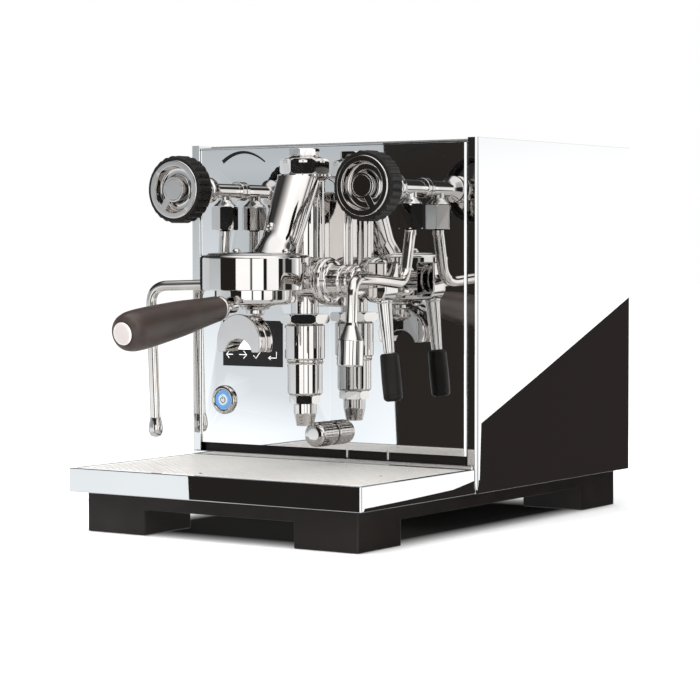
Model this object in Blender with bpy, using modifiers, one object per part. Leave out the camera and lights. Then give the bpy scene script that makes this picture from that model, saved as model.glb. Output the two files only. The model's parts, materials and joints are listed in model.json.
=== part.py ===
"""Espresso machine with one lever brew group, two steam-type taps and a lift-out water tank.

Every length below is in millimetres, and the helpers turn them into metres. x runs from the
machine's middle plane to its right side, y runs back from the front face of the casing, and z
runs up from the floor. One empty carries all pieces and puts the origin at the middle of the
bottom of the whole object's box.
"""

import math

import bmesh
import bpy
from mathutils import Matrix, Vector

MM = 0.001
GAP = 0.3

# The middle of the whole object's box, in the coordinates above
BOX_MIDDLE_X = -12.86
BOX_MIDDLE_Y = -3.785

# Casing
BODY_HALF_WIDTH = 151.5
BODY_DEPTH = 276
BODY_BOTTOM = 34
BODY_TOP = 334
SHEET = 1.5
FLANGE_WIDTH = 9.5
PANEL_FRONT = 2.0
PANEL_BACK = PANEL_FRONT + SHEET
PANEL_HALF_WIDTH = 140.5
PANEL_BOTTOM = 65
COVER_TOP = 331.6
COVER_BOTTOM = COVER_TOP - SHEET
INNER_HALF_WIDTH = BODY_HALF_WIDTH - SHEET - GAP
FLOOR_TOP = 36.3

# Base with four block feet
BASE_HALF_WIDTH = 139
BASE_FRONT = -161
BASE_REAR = 270.7
BASE_TOP = BODY_BOTTOM - GAP
SKIRT_BOTTOM = 21.5
FOOT = 62.5
RAIL = 14

# Drip tray and its grate
TRAY_HALF_WIDTH = 150
TRAY_FRONT = -173
TRAY_REAR = -0.7
TRAY_TOP = 54.6
TRAY_WALL = 7
TRAY_RIM = 5
TRAY_FLOOR = 36.5
LEDGE = 52.0
UPSTAND_TOP = 57.6
GRATE_ROWS = 3
GRATE_SLOTS = 8

# Water tank and cup tray
TANK_HALF_WIDTH = 94
TANK_FRONT = 199
TANK_REAR = 260
TANK_TOP = 329.5
TANK_WALL = 2.5
LID_TOP = 333.2
LID_BOTTOM = COVER_TOP + GAP
CUP_HALF_WIDTH = 134
CUP_FRONT = 14
CUP_REAR = 182
CUP_DEPTH = 14

# Brew group: bell, leaning neck and upright valve chamber
BELL_Y = -107.5
BELL_RADIUS = 46.4
BELL_BOTTOM = 206.2
BELL_TOP = 235.5
BELL_BORE = 37
BELL_CEILING = 226
NECK_FOOT = (0, -77.5, 234)
NECK_HEAD = (0, -43.0, 303)
NECK_FOOT_RADIUS = 16.0
NECK_HEAD_RADIUS = 18.2
CHAMBER_Y = -36
CHAMBER_RADIUS = 17.5
CHAMBER_BOTTOM = 184.6
CHAMBER_TOP = 304.3
THERMOSYPHON_HEIGHTS = (205, 275)

# Brew lever, which turns about an axis along x through the valve chamber
LEVER_HEIGHT = 213
LEVER_TILT = math.radians(6.2)
HUB_X = (71.7, 90)
ROD_TOP = (82, CHAMBER_Y, 196.9)
ROD_LENGTH = 44.5
GRIP_LENGTH = 40.5

# Portafilter, whose handle slopes down to the front
PORTAFILTER_RADIUS = 34.2
PORTAFILTER_TOP = 215.4
HANDLE_SLOPE = math.radians(7.9)
HANDLE_AXIS_HEIGHT = 191.9
HANDLE_START = -158.7
HANDLE_LENGTH = 123.5
SPOUT_Y = -121.5
SPOUT_DEPTH = 17
SPOUT_ARC_HEIGHT = 163
SPOUT_RADIUS = 23.5

# Steam tap on the left and hot water tap on the right
TAP_X = 98
TAP_HEIGHT = 292
BRANCH_Y = -20
BALL_HEIGHT = 264
BALL_RADIUS = 6.6
KNOB_FRONT = -93
KNOB_DEPTH = 17
KNOB_RADIUS = 29.2
KNOB_SCALLOPS = 26
PIPE_RADIUS = 4.8
STEAM_WAND_FOOT = (-168.5, -31, 71)
WATER_WAND_FOOT = (112.5, -133, 146.5)

# Controls on the front panel
DISPLAY_X = (-117, -51)
DISPLAY_Z = (135.6, 176.2)
BUTTON_X = -115.6
BUTTON_Z = 104.3
BUTTON_RADIUS = 9.2
PRESSURE_KNOB_Z = 79
PRESSURE_KNOB_RADIUS = 11
PRESSURE_KNOB_FRONT = -24

# Boiler, lying across the machine
BOILER_Y = 80
BOILER_Z = 205
BOILER_RADIUS = 50
BOILER_LEFT = -92
BOILER_RIGHT = 78

X_AXIS = Vector((1, 0, 0))
Y_AXIS = Vector((0, 1, 0))
Z_AXIS = Vector((0, 0, 1))

# look: colour, metallic, roughness
LOOKS = {
    "mirror_steel": ((0.86, 0.87, 0.88), 1.0, 0.04),
    "brushed_steel": ((0.62, 0.62, 0.61), 1.0, 0.35),
    "chrome": ((0.90, 0.90, 0.90), 1.0, 0.05),
    "brass": ((0.72, 0.53, 0.24), 1.0, 0.35),
    "copper": ((0.80, 0.45, 0.30), 1.0, 0.35),
    "black_plastic": ((0.018, 0.016, 0.015), 0.0, 0.42),
    "black_glass": ((0.004, 0.004, 0.005), 0.0, 0.08),
    "rubber": ((0.03, 0.03, 0.03), 0.0, 0.8),
    "clear_plastic": ((0.75, 0.80, 0.84), 0.0, 0.15),
    "painted_steel": ((0.30, 0.31, 0.32), 0.2, 0.5),
}


def clear_scene():
    for old in list(bpy.data.objects):
        bpy.data.objects.remove(old, do_unlink=True)


def new_collection(name, hidden=False):
    made = bpy.data.collections.new(name)
    made.hide_render = hidden
    bpy.context.scene.collection.children.link(made)
    return made


clear_scene()
MACHINE = new_collection("espresso_machine")
CUTTERS = new_collection("cutters", hidden=True)


def new_root():
    root = bpy.data.objects.new("machine_origin", None)
    root.location = Vector((-BOX_MIDDLE_X, -BOX_MIDDLE_Y, 0)) * MM
    MACHINE.objects.link(root)
    return root


ROOT = new_root()


def material_for(name, look):
    """One Principled BSDF material for each piece."""
    colour, metallic, roughness = LOOKS[look]
    made = bpy.data.materials.new(name)
    made.use_nodes = True
    shader = made.node_tree.nodes["Principled BSDF"]
    shader.inputs["Base Color"].default_value = (*colour, 1)
    shader.inputs["Metallic"].default_value = metallic
    shader.inputs["Roughness"].default_value = roughness
    return made


def add(name, data, look, place=(0, 0, 0), axis=Z_AXIS):
    """Puts mesh or curve data into the scene, its local z turned to axis. No look means a cutter."""
    obj = bpy.data.objects.new(name, data)
    obj.parent = ROOT
    obj.location = Vector(place) * MM
    obj.rotation_mode = "QUATERNION"
    obj.rotation_quaternion = Z_AXIS.rotation_difference(Vector(axis))
    if look is None:
        CUTTERS.objects.link(obj)
        obj.hide_render = True
        obj.display_type = "WIRE"
    else:
        MACHINE.objects.link(obj)
        obj.data.materials.append(material_for(name, look))
    return obj


def mesh_from(name, builder):
    """A mesh that builder fills through bmesh, with faces out."""
    mesh = bpy.data.meshes.new(name)
    shape = bmesh.new()
    builder(shape)
    bmesh.ops.recalc_face_normals(shape, faces=shape.faces)
    shape.to_mesh(mesh)
    shape.free()
    return mesh


def add_bevel(obj, width, segments=2):
    bevel = obj.modifiers.new("bevel", "BEVEL")
    bevel.width = width * MM
    bevel.segments = segments
    bevel.limit_method = "ANGLE"
    return obj


def box(name, low, high, look=None, bevel=0.0):
    """A box between two corners, its origin at its middle."""
    low, high = Vector(low), Vector(high)
    size = (high - low) * MM

    def build(shape):
        bmesh.ops.create_cube(shape, size=1)
        bmesh.ops.scale(shape, vec=size, verts=shape.verts)

    obj = add(name, mesh_from(name, build), look, (low + high) / 2)
    return add_bevel(obj, bevel) if bevel else obj


def prism(name, radius, low, high, place, axis=Z_AXIS, look=None, sides=6, end_radius=None, bevel=0.0):
    """A prism or cone about axis through place, from low to high along it."""

    def build(shape):
        bmesh.ops.create_cone(
            shape,
            cap_ends=True,
            segments=sides,
            radius1=radius * MM,
            radius2=(radius if end_radius is None else end_radius) * MM,
            depth=(high - low) * MM,
            matrix=Matrix.Translation((0, 0, (high + low) / 2 * MM)),
        )

    obj = add(name, mesh_from(name, build), look, place, axis)
    if sides > 8:
        obj.data.shade_smooth()
        obj.data.set_sharp_from_angle(angle=math.radians(40))
    return add_bevel(obj, bevel, 1) if bevel else obj


def turned(name, profile, place, axis=Z_AXIS, look=None, steps=26, ring=False):
    """A profile of (radius, height) points turned about axis, down its outer side.

    A ring closes on itself.
    """

    def build(shape):
        points = [shape.verts.new((radius * MM, 0, height * MM)) for radius, height in profile]
        for first, second in zip(points, points[1:]):
            shape.edges.new((first, second))
        if ring:
            shape.edges.new((points[-1], points[0]))

    obj = add(name, mesh_from(name, build), look, place, axis)
    screw = obj.modifiers.new("turn", "SCREW")
    screw.angle = math.tau
    screw.steps = steps
    screw.render_steps = steps
    screw.use_merge_vertices = True
    screw.merge_threshold = 0.00001
    screw.use_smooth_shade = True
    weld = obj.modifiers.new("weld_axis", "WELD")
    weld.merge_threshold = 0.00001
    return obj


def outline_curve(name, outlines, half_depth):
    """Closed flat outlines, the first solid and the others holes in it, with a depth along local z."""
    curve = bpy.data.curves.new(name, "CURVE")
    curve.dimensions = "2D"
    curve.fill_mode = "BOTH"
    curve.extrude = half_depth * MM
    for outline in outlines:
        spline = curve.splines.new("POLY")
        spline.points.add(len(outline) - 1)
        spline.use_cyclic_u = True
        for point, (x, y) in zip(spline.points, outline):
            point.co = (x * MM, y * MM, 0, 1)
    return curve


def as_mesh(obj):
    """Replaces a curve object by a closed mesh object of the same name."""
    name, look_slots, hidden = obj.name, list(obj.data.materials), obj.hide_render
    bpy.context.view_layer.update()
    graph = bpy.context.evaluated_depsgraph_get()
    mesh = bpy.data.meshes.new_from_object(obj.evaluated_get(graph))
    shape = bmesh.new()
    shape.from_mesh(mesh)
    bmesh.ops.remove_doubles(shape, verts=shape.verts, dist=0.00001)
    shape.to_mesh(mesh)
    shape.free()
    mesh.materials.clear()
    for slot in look_slots:
        mesh.materials.append(slot)
    matrix = obj.matrix_world.copy()
    bpy.data.objects.remove(obj, do_unlink=True)
    made = bpy.data.objects.new(name, mesh)
    (CUTTERS if hidden else MACHINE).objects.link(made)
    made.hide_render = hidden
    if hidden:
        made.display_type = "WIRE"
    made.parent = ROOT
    made.matrix_parent_inverse = ROOT.matrix_world.inverted()
    made.matrix_world = matrix
    return made


def plate(name, outlines, place, axis, thickness, look=None, turn=0.0):
    """A flat outline with thickness centred on place, its local z turned to axis, as a closed mesh."""
    obj = add(name, outline_curve(name, outlines, thickness / 2), look, place, axis)
    obj.rotation_quaternion = obj.rotation_quaternion @ Matrix.Rotation(turn, 3, "Z").to_quaternion()
    return as_mesh(obj)


def rounded_route(corners, bend, steps=4):
    """The points of a pipe through its corners, each corner replaced by an arc-like bend."""
    corners = [Vector(corner) for corner in corners]
    route = [corners[0]]
    for before, corner, after in zip(corners, corners[1:], corners[2:]):
        reach = min(bend, (before - corner).length / 2, (after - corner).length / 2)
        start = corner + (before - corner).normalized() * reach
        end = corner + (after - corner).normalized() * reach
        for step in range(steps + 1):
            t = step / steps
            route.append(start * (1 - t) ** 2 + corner * 2 * t * (1 - t) + end * t**2)
    return route + [corners[-1]]


def pipe(name, corners, radius, look, bend=14.0, place=(0, 0, 0)):
    """A bent pipe along corners given from the machine's frame, with its origin at place."""
    curve = bpy.data.curves.new(name, "CURVE")
    curve.dimensions = "3D"
    curve.bevel_depth = radius * MM
    curve.bevel_resolution = 3
    curve.use_fill_caps = True
    route = rounded_route(corners, bend)
    spline = curve.splines.new("POLY")
    spline.points.add(len(route) - 1)
    for point, position in zip(spline.points, route):
        point.co = (*((position - Vector(place)) * MM), 1)
    return add(name, curve, look, place)


def combine(target, others, operation):
    """Cuts hidden helper shapes from a piece, or joins them to it."""
    for other in others:
        modifier = target.modifiers.new(other.name, "BOOLEAN")
        modifier.operation = operation
        modifier.object = other
        modifier.solver = "EXACT"
    return target


def cut(target, *others):
    return combine(target, others, "DIFFERENCE")


def join(target, *others):
    return combine(target, others, "UNION")


def round_cutter(name, radius, low, high, place, axis=Y_AXIS):
    return prism(name, radius, low, high, place, axis, sides=20)


def arc(centre, radius, start_deg, end_deg, steps):
    """Points on an arc, from start to end."""
    points = []
    for step in range(steps + 1):
        angle = math.radians(start_deg + (end_deg - start_deg) * step / steps)
        points.append((centre[0] + radius * math.cos(angle), centre[1] + radius * math.sin(angle)))
    return points


def pivot(name, place, pieces):
    """An empty on a joint's axis that carries the pieces of one moving body."""
    empty = bpy.data.objects.new(name, None)
    MACHINE.objects.link(empty)
    empty.parent = ROOT
    empty.location = Vector(place) * MM
    bpy.context.view_layer.update()
    for piece in pieces:
        matrix = piece.matrix_world.copy()
        piece.parent = empty
        piece.matrix_parent_inverse = empty.matrix_world.inverted()
        piece.matrix_world = matrix
    return empty


# ---------------------------------------------------------------- base and casing


def base_frame():
    frame = box(
        "base_frame",
        (-BASE_HALF_WIDTH, BASE_FRONT, 0),
        (BASE_HALF_WIDTH, BASE_REAR, BASE_TOP),
        "black_plastic",
    )
    between_feet_x = BASE_HALF_WIDTH - FOOT
    between_feet_y = (BASE_FRONT + FOOT, BASE_REAR - FOOT)
    over = 10
    gaps = [
        box(
            "base_cut_front_to_back",
            (-between_feet_x, BASE_FRONT - over, -over),
            (between_feet_x, BASE_REAR + over, SKIRT_BOTTOM),
        ),
        box(
            "base_cut_side_to_side",
            (-BASE_HALF_WIDTH - over, between_feet_y[0], -over),
            (BASE_HALF_WIDTH + over, between_feet_y[1], SKIRT_BOTTOM),
        ),
        box(
            "base_opening_long",
            (-between_feet_x, BASE_FRONT + RAIL, -over),
            (between_feet_x, BASE_REAR - RAIL, BASE_TOP + over),
        ),
        box(
            "base_opening_wide",
            (-BASE_HALF_WIDTH + RAIL, between_feet_y[0], -over),
            (BASE_HALF_WIDTH - RAIL, between_feet_y[1], BASE_TOP + over),
        ),
    ]
    return cut(frame, *gaps)


def side_panel(name, side):
    """A folded side sheet: a flat wall with a narrow flange turned in along the front edge."""
    outer, inner = BODY_HALF_WIDTH, BODY_HALF_WIDTH - SHEET
    fold = 2.5
    outline = [(outer - FLANGE_WIDTH, 0)]
    outline += arc((outer - fold, fold), fold, -90, 0, 5)
    outline += [(outer, BODY_DEPTH), (inner, BODY_DEPTH), (inner, SHEET)]
    outline += [(outer - FLANGE_WIDTH, SHEET)]
    outline = [(side * x, y) for x, y in outline]
    middle = (BODY_BOTTOM + BODY_TOP) / 2
    return plate(name, [outline], (0, 0, middle), Z_AXIS, BODY_TOP - BODY_BOTTOM, "mirror_steel")


def front_panel():
    panel = box(
        "front_panel",
        (-PANEL_HALF_WIDTH, PANEL_FRONT, PANEL_BOTTOM),
        (PANEL_HALF_WIDTH, PANEL_BACK, COVER_BOTTOM - GAP),
        "mirror_steel",
    )
    through = (-6, 6)
    middle = (PANEL_FRONT + PANEL_BACK) / 2
    holes = [
        round_cutter("hole_steam_tap", 6.6, *through, (-TAP_X, middle, TAP_HEIGHT)),
        round_cutter("hole_water_tap", 6.6, *through, (TAP_X, middle, TAP_HEIGHT)),
        round_cutter("hole_button", 10.9, *through, (BUTTON_X, middle, BUTTON_Z)),
        round_cutter("hole_pressure_knob", 4.4, *through, (0, middle, PRESSURE_KNOB_Z)),
        box(
            "hole_display",
            (DISPLAY_X[0] - GAP, PANEL_FRONT - 5, DISPLAY_Z[0] - GAP),
            (DISPLAY_X[1] + GAP, PANEL_BACK + 5, DISPLAY_Z[1] + GAP),
        ),
    ]
    for number, height in enumerate(THERMOSYPHON_HEIGHTS):
        holes.append(round_cutter(f"hole_group_{number}", 8.4, *through, (0, middle, height)))
    return cut(panel, *holes)


def rear_panel():
    low, high = BODY_DEPTH - 0.2 - SHEET, BODY_DEPTH - 0.2
    panel = box(
        "rear_panel",
        (-INNER_HALF_WIDTH, low, FLOOR_TOP + GAP),
        (INNER_HALF_WIDTH, high, COVER_BOTTOM - GAP),
        "brushed_steel",
    )
    openings = [box("hole_inlet", (78, low - 5, 48), (106, high + 5, 70))]
    for column in range(4):
        x = -90 + 60 * column
        openings.append(box(f"vent_{column}", (x - 14, low - 5, 280), (x + 14, high + 5, 284)))
    return cut(panel, *openings)


def top_cover():
    cover = box(
        "top_cover",
        (-INNER_HALF_WIDTH, SHEET + GAP, COVER_BOTTOM),
        (INNER_HALF_WIDTH, BODY_DEPTH - 0.2, COVER_TOP),
        "mirror_steel",
    )
    cup_opening = box(
        "cup_opening",
        (-CUP_HALF_WIDTH, CUP_FRONT, COVER_BOTTOM - 5),
        (CUP_HALF_WIDTH, CUP_REAR, COVER_TOP + 5),
    )
    tank_opening = box(
        "tank_opening",
        (-TANK_HALF_WIDTH - 3, TANK_FRONT - 2.5, COVER_BOTTOM - 5),
        (TANK_HALF_WIDTH + 3, TANK_REAR + 2.5, COVER_TOP + 5),
    )
    return cut(cover, cup_opening, tank_opening)


def cup_tray():
    """A lift-out pan whose rim rests on the top cover, with drain slots in its floor."""
    wall, rim = 1.2, 4
    half_width, front, rear = CUP_HALF_WIDTH - 1, CUP_FRONT + 1, CUP_REAR - 1
    top = LID_TOP
    floor = top - CUP_DEPTH
    tray = box(
        "cup_tray",
        (-half_width - rim, front - rim, LID_BOTTOM),
        (half_width + rim, rear + rim, top),
        "brushed_steel",
    )
    pan = box("cup_pan", (-half_width, front, floor), (half_width, rear, top - 0.2))
    hollow = box(
        "cup_hollow",
        (-half_width + wall, front + wall, floor + wall),
        (half_width - wall, rear - wall, top + 5),
    )
    slots = []
    for row in range(3):
        for column in range(5):
            x, y = -96 + 48 * column, 50 + 48 * row
            low, high = (x - 13, y - 2, floor - 5), (x + 13, y + 2, floor + 5)
            slots.append(box(f"cup_slot_{row}_{column}", low, high))
    join(tray, pan)
    return cut(tray, hollow, *slots)


def casing():
    base_frame()
    side_panel("left_side_panel", -1)
    side_panel("right_side_panel", 1)
    front_panel()
    rear_panel()
    top_cover()
    box(
        "chassis_floor",
        (-INNER_HALF_WIDTH, PANEL_FRONT, BODY_BOTTOM + 0.3),
        (INNER_HALF_WIDTH, BODY_DEPTH - 2.2, FLOOR_TOP),
        "painted_steel",
    )
    box(
        "front_rail",
        (-PANEL_HALF_WIDTH, PANEL_BACK + 2, FLOOR_TOP + GAP),
        (PANEL_HALF_WIDTH, PANEL_BACK + 9, PANEL_BOTTOM + 10),
        "black_plastic",
    )
    tray = cup_tray()
    pivot("cup_tray_slide", (0, (CUP_FRONT + CUP_REAR) / 2, LID_TOP), [tray])


# ---------------------------------------------------------------- drip tray


def drip_tray():
    middle_y = (TRAY_FRONT + TRAY_REAR) / 2
    tray = box(
        "drip_tray",
        (-TRAY_HALF_WIDTH, TRAY_FRONT, BODY_BOTTOM + GAP / 2),
        (TRAY_HALF_WIDTH, TRAY_REAR, TRAY_TOP),
        "mirror_steel",
    )
    upstand = box(
        "tray_upstand",
        (-TRAY_HALF_WIDTH + 2, TRAY_REAR - 2, TRAY_TOP - 5),
        (TRAY_HALF_WIDTH - 2, TRAY_REAR - 0.2, UPSTAND_TOP),
    )
    hollow = box(
        "tray_hollow",
        (-TRAY_HALF_WIDTH + TRAY_WALL, TRAY_FRONT + TRAY_WALL, TRAY_FLOOR),
        (TRAY_HALF_WIDTH - TRAY_WALL, TRAY_REAR - TRAY_WALL, TRAY_TOP + 10),
    )
    seat = box(
        "tray_seat",
        (-TRAY_HALF_WIDTH + TRAY_RIM, TRAY_FRONT + TRAY_RIM, LEDGE),
        (TRAY_HALF_WIDTH - TRAY_RIM, TRAY_REAR - TRAY_RIM, TRAY_TOP + 10),
    )
    join(tray, upstand)
    cut(tray, hollow, seat)
    grate = drip_grate()
    pivot("drip_tray_slide", (0, middle_y, BODY_BOTTOM), [tray])
    pivot("drip_grate_lift", (0, middle_y, TRAY_TOP), [grate])


def drip_grate():
    """A flat plate flush with the tray's rim, with staggered drain slots."""
    margin = TRAY_RIM + 0.8
    low_y, high_y = TRAY_FRONT + margin, TRAY_REAR - margin
    grate = box(
        "drip_grate",
        (-TRAY_HALF_WIDTH + margin, low_y, LEDGE + GAP),
        (TRAY_HALF_WIDTH - margin, high_y, TRAY_TOP - 0.2),
        "brushed_steel",
    )
    slots = []
    for row in range(GRATE_ROWS):
        y = low_y + (high_y - low_y) * (row + 0.7) / (GRATE_ROWS + 0.4)
        for column in range(GRATE_SLOTS):
            x = (column - (GRATE_SLOTS - 1) / 2) * 34 + (8.5 if row % 2 else -8.5)
            low, high = (x - 9, y - 2, LEDGE - 5), (x + 9, y + 2, TRAY_TOP + 5)
            slots.append(box(f"slot_{row}_{column}", low, high))
    return cut(grate, *slots)


# ---------------------------------------------------------------- water tank


def water_tank():
    tank = box(
        "water_tank",
        (-TANK_HALF_WIDTH, TANK_FRONT, FLOOR_TOP + GAP),
        (TANK_HALF_WIDTH, TANK_REAR, TANK_TOP),
        "clear_plastic",
        bevel=4,
    )
    hollow = box(
        "tank_hollow",
        (-TANK_HALF_WIDTH + TANK_WALL, TANK_FRONT + TANK_WALL, FLOOR_TOP + TANK_WALL),
        (TANK_HALF_WIDTH - TANK_WALL, TANK_REAR - TANK_WALL, TANK_TOP + 20),
    )
    cut(tank, hollow)
    lid = box(
        "tank_lid",
        (-TANK_HALF_WIDTH - 7, TANK_FRONT - 6.5, LID_BOTTOM),
        (TANK_HALF_WIDTH + 7, TANK_REAR + 6.5, LID_TOP),
        "brushed_steel",
    )
    notch = round_cutter("lid_notch", 11, -10, 10, (0, TANK_FRONT - 8.5, LID_TOP), Z_AXIS)
    cut(lid, notch)
    pivot("water_tank_slide", (0, (TANK_FRONT + TANK_REAR) / 2, FLOOR_TOP), [tank])
    pivot("tank_lid_hinge", (0, TANK_REAR + 7, LID_TOP - 0.6), [lid])


# ---------------------------------------------------------------- boiler and other inner pieces


def boiler():
    outer, inner, flange = BOILER_RADIUS, BOILER_RADIUS - 2, BOILER_RADIUS + 9
    length = BOILER_RIGHT - BOILER_LEFT
    shell_profile = [
        (flange, length),
        (flange, length - 5),
        (outer, length - 5),
        (outer, 10),
        (outer - 10, 0),
        (0, 0),
        (0, 2),
        (inner - 9, 2),
        (inner, 11),
        (inner, length),
    ]
    turned(
        "boiler_shell", shell_profile, (BOILER_LEFT, BOILER_Y, BOILER_Z), X_AXIS, "copper", 24, ring=True
    )
    turned(
        "boiler_end_plate",
        [(0, 14), (16, 14), (16, 6), (flange, 6), (flange, 0), (0, 0)],
        (BOILER_RIGHT + GAP, BOILER_Y, BOILER_Z),
        X_AXIS,
        "brass",
        24,
    )
    element_end = BOILER_RIGHT
    pipe(
        "heating_element",
        [
            (element_end, BOILER_Y, BOILER_Z + 14),
            (BOILER_LEFT + 30, BOILER_Y, BOILER_Z + 14),
            (BOILER_LEFT + 30, BOILER_Y, BOILER_Z - 14),
            (element_end, BOILER_Y, BOILER_Z - 14),
        ],
        4,
        "chrome",
        bend=13.9,
    )
    bracket = box(
        "boiler_bracket",
        (-45, BOILER_Y - 12, FLOOR_TOP + GAP),
        (35, BOILER_Y + 12, FLOOR_TOP + 3),
        "painted_steel",
    )
    post = box("bracket_post", (-40, BOILER_Y - 1.5, FLOOR_TOP + 1), (30, BOILER_Y + 1.5, BOILER_Z - 45))
    boiler_clearance = round_cutter(
        "bracket_saddle", BOILER_RADIUS + GAP, -100, 100, (0, BOILER_Y, BOILER_Z), X_AXIS
    )
    join(bracket, post)
    cut(bracket, boiler_clearance)
    turned(
        "safety_valve",
        [(0, 32), (4, 32), (5, 22), (8, 20), (8, 8), (5, 6), (5, 0), (0, 0)],
        (30, BOILER_Y, BOILER_Z + BOILER_RADIUS + GAP),
        Z_AXIS,
        "brass",
        14,
    )


def boiler_pipes():
    top = BOILER_Z + BOILER_RADIUS + GAP
    tail = 14.4
    for name, side in (("steam_supply_pipe", -1), ("water_supply_pipe", 1)):
        corners = [
            (side * TAP_X, tail, TAP_HEIGHT),
            (side * TAP_X, 50, TAP_HEIGHT),
            (side * 60, BOILER_Y, TAP_HEIGHT),
            (side * 60, BOILER_Y, top),
        ]
        pipe(name, corners, 4, "copper", bend=12)
    low, high = THERMOSYPHON_HEIGHTS
    pipe(
        "upper_thermosyphon_pipe",
        [(0, tail, high), (0, BOILER_Y, high), (0, BOILER_Y, top)],
        5,
        "copper",
        bend=9,
    )
    pipe(
        "lower_thermosyphon_pipe",
        [(0, tail, low), (0, BOILER_Y - BOILER_RADIUS - GAP - 0.3, low)],
        5,
        "copper",
    )


def pump_and_controls():
    turned(
        "vibration_pump",
        [
            (0, 96),
            (5, 96),
            (5, 80),
            (15, 78),
            (15, 66),
            (22, 64),
            (22, 26),
            (14, 24),
            (14, 12),
            (5, 10),
            (5, 0),
            (0, 0),
        ],
        (-125, 160, 76),
        X_AXIS,
        "black_plastic",
        18,
    )
    box("control_box", (45, 105, FLOOR_TOP + GAP), (138, 188, 104), "black_plastic", bevel=3)
    valve = box("fill_solenoid_valve", (-122, 40, FLOOR_TOP + GAP), (-88, 74, 74), "black_plastic", bevel=2)
    stem = prism("valve_stem", 9, 70, 96, (-105, 57, 0), sides=20)
    join(valve, stem)
    inlet = box("power_inlet", (75, TANK_REAR + 1, 45), (109, BODY_DEPTH - 2.2, 73), "black_plastic")
    tongue = box("inlet_tongue", (79, BODY_DEPTH - 6, 49), (105, BODY_DEPTH + 0.6, 69))
    socket = box("inlet_socket", (81, TANK_REAR + 3, 51), (103, BODY_DEPTH + 6, 67))
    join(inlet, tongue)
    cut(inlet, socket)


# ---------------------------------------------------------------- brew group


def group_body():
    """Bell, leaning neck, valve chamber and lever boss in one casting, with two tails through the panel."""
    bell = turned(
        "group_body",
        [
            (0, BELL_TOP + 2.5),
            (30, BELL_TOP + 1.5),
            (BELL_RADIUS - 4, BELL_TOP),
            (BELL_RADIUS - 1.2, BELL_TOP - 1.2),
            (BELL_RADIUS, BELL_TOP - 4),
            (BELL_RADIUS, BELL_BOTTOM + 1),
            (BELL_RADIUS - 1, BELL_BOTTOM),
            (BELL_BORE, BELL_BOTTOM),
            (BELL_BORE, BELL_CEILING),
            (0, BELL_CEILING),
        ],
        (0, BELL_Y, 0),
        Z_AXIS,
        "chrome",
        36,
    )
    foot, head = Vector(NECK_FOOT), Vector(NECK_HEAD)
    lean = (head - foot).normalized()
    neck_length = (head - foot).length + 16
    neck = prism(
        "neck", NECK_FOOT_RADIUS, 0, neck_length, foot, lean, sides=26, end_radius=NECK_HEAD_RADIUS
    )
    level_top = box("neck_level", (-60, -120, 303), (60, 60, 360))
    below_bell = box("neck_below", (-60, -150, 180), (60, -60, BELL_CEILING + 4))
    cut(neck, level_top, below_bell)
    chamber = turned(
        "chamber",
        [
            (0, CHAMBER_TOP),
            (21.5, CHAMBER_TOP),
            (21.5, CHAMBER_TOP - 2),
            (CHAMBER_RADIUS, CHAMBER_TOP - 5),
            (CHAMBER_RADIUS, 214),
            (11.7, 206),
            (11.7, CHAMBER_BOTTOM),
            (0, CHAMBER_BOTTOM),
        ],
        (0, CHAMBER_Y, 0),
    )
    bridge = box("bridge", (-16, -66, 212), (16, -40, 234))
    boss = prism("lever_boss", 17, 0, 18.7, (0, CHAMBER_Y, LEVER_HEIGHT), X_AXIS, sides=24)
    flange = box("group_flange", (-21, -5, 190), (21, PANEL_FRONT - GAP, 290))
    web = box("group_web", (-12, -34, 197), (12, -3, 283))
    tails = [
        prism(f"group_tail_{number}", 8, -8, 14, (0, 0, height), Y_AXIS, sides=16)
        for number, height in enumerate(THERMOSYPHON_HEIGHTS)
    ]
    boss_bore = prism("lever_bore", 6.4, -12, 30, (0, CHAMBER_Y, LEVER_HEIGHT), X_AXIS, sides=16)
    join(bell, neck, chamber, bridge, boss, flange, web, *tails)
    return cut(bell, boss_bore)


def group_cap():
    collar = prism("group_cap_nut", 21, 304.6, 317.4, (0, CHAMBER_Y, 0), Z_AXIS, "chrome", bevel=0.8)
    throat = prism("cap_throat", 12, 316, 321, (0, CHAMBER_Y, 0), sides=28)
    top = prism("cap_top", 13.2, 320.4, 326.5, (0, CHAMBER_Y, 0), bevel=0.6)
    return join(collar, throat, top)


def group_seals():
    seal_top = BELL_CEILING - GAP
    seal_bottom = 217.3
    turned(
        "group_gasket",
        [(36.6, seal_top), (36.6, seal_bottom), (29, seal_bottom), (29, seal_top)],
        (0, BELL_Y, 0),
        look="rubber",
        ring=True,
    )
    turned(
        "shower_screen",
        [(0, seal_top), (28.5, seal_top), (28.5, seal_bottom + 2), (26, seal_bottom), (0, seal_bottom)],
        (0, BELL_Y, 0),
        look="brushed_steel",
    )


def lower_valve():
    """The stack below the valve chamber: a nut, the infusion cylinder and the drain nozzle."""
    prism("infusion_nut", 20.6, 176.4, 184.3, (0, CHAMBER_Y, 0), Z_AXIS, "chrome", bevel=1.2)
    turned(
        "infusion_cylinder",
        [
            (0, 176),
            (17.2, 176),
            (17.2, 145.4),
            (16.2, 144.4),
            (16.2, 143.6),
            (15.1, 142.5),
            (15.1, 115.6),
            (14, 114.5),
            (0, 114.5),
        ],
        (0, CHAMBER_Y, 0),
        look="chrome",
    )
    turned(
        "drain_nozzle",
        [(0, 114.2), (11.5, 114.2), (12.8, 112.5), (12.8, 107.5), (9.9, 106.8), (9.7, 99), (7.3, 88)]
        + [(5.2, 88), (5.2, 100), (0, 100)],
        (0, CHAMBER_Y, 0),
        look="chrome",
        steps=28,
    )


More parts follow.
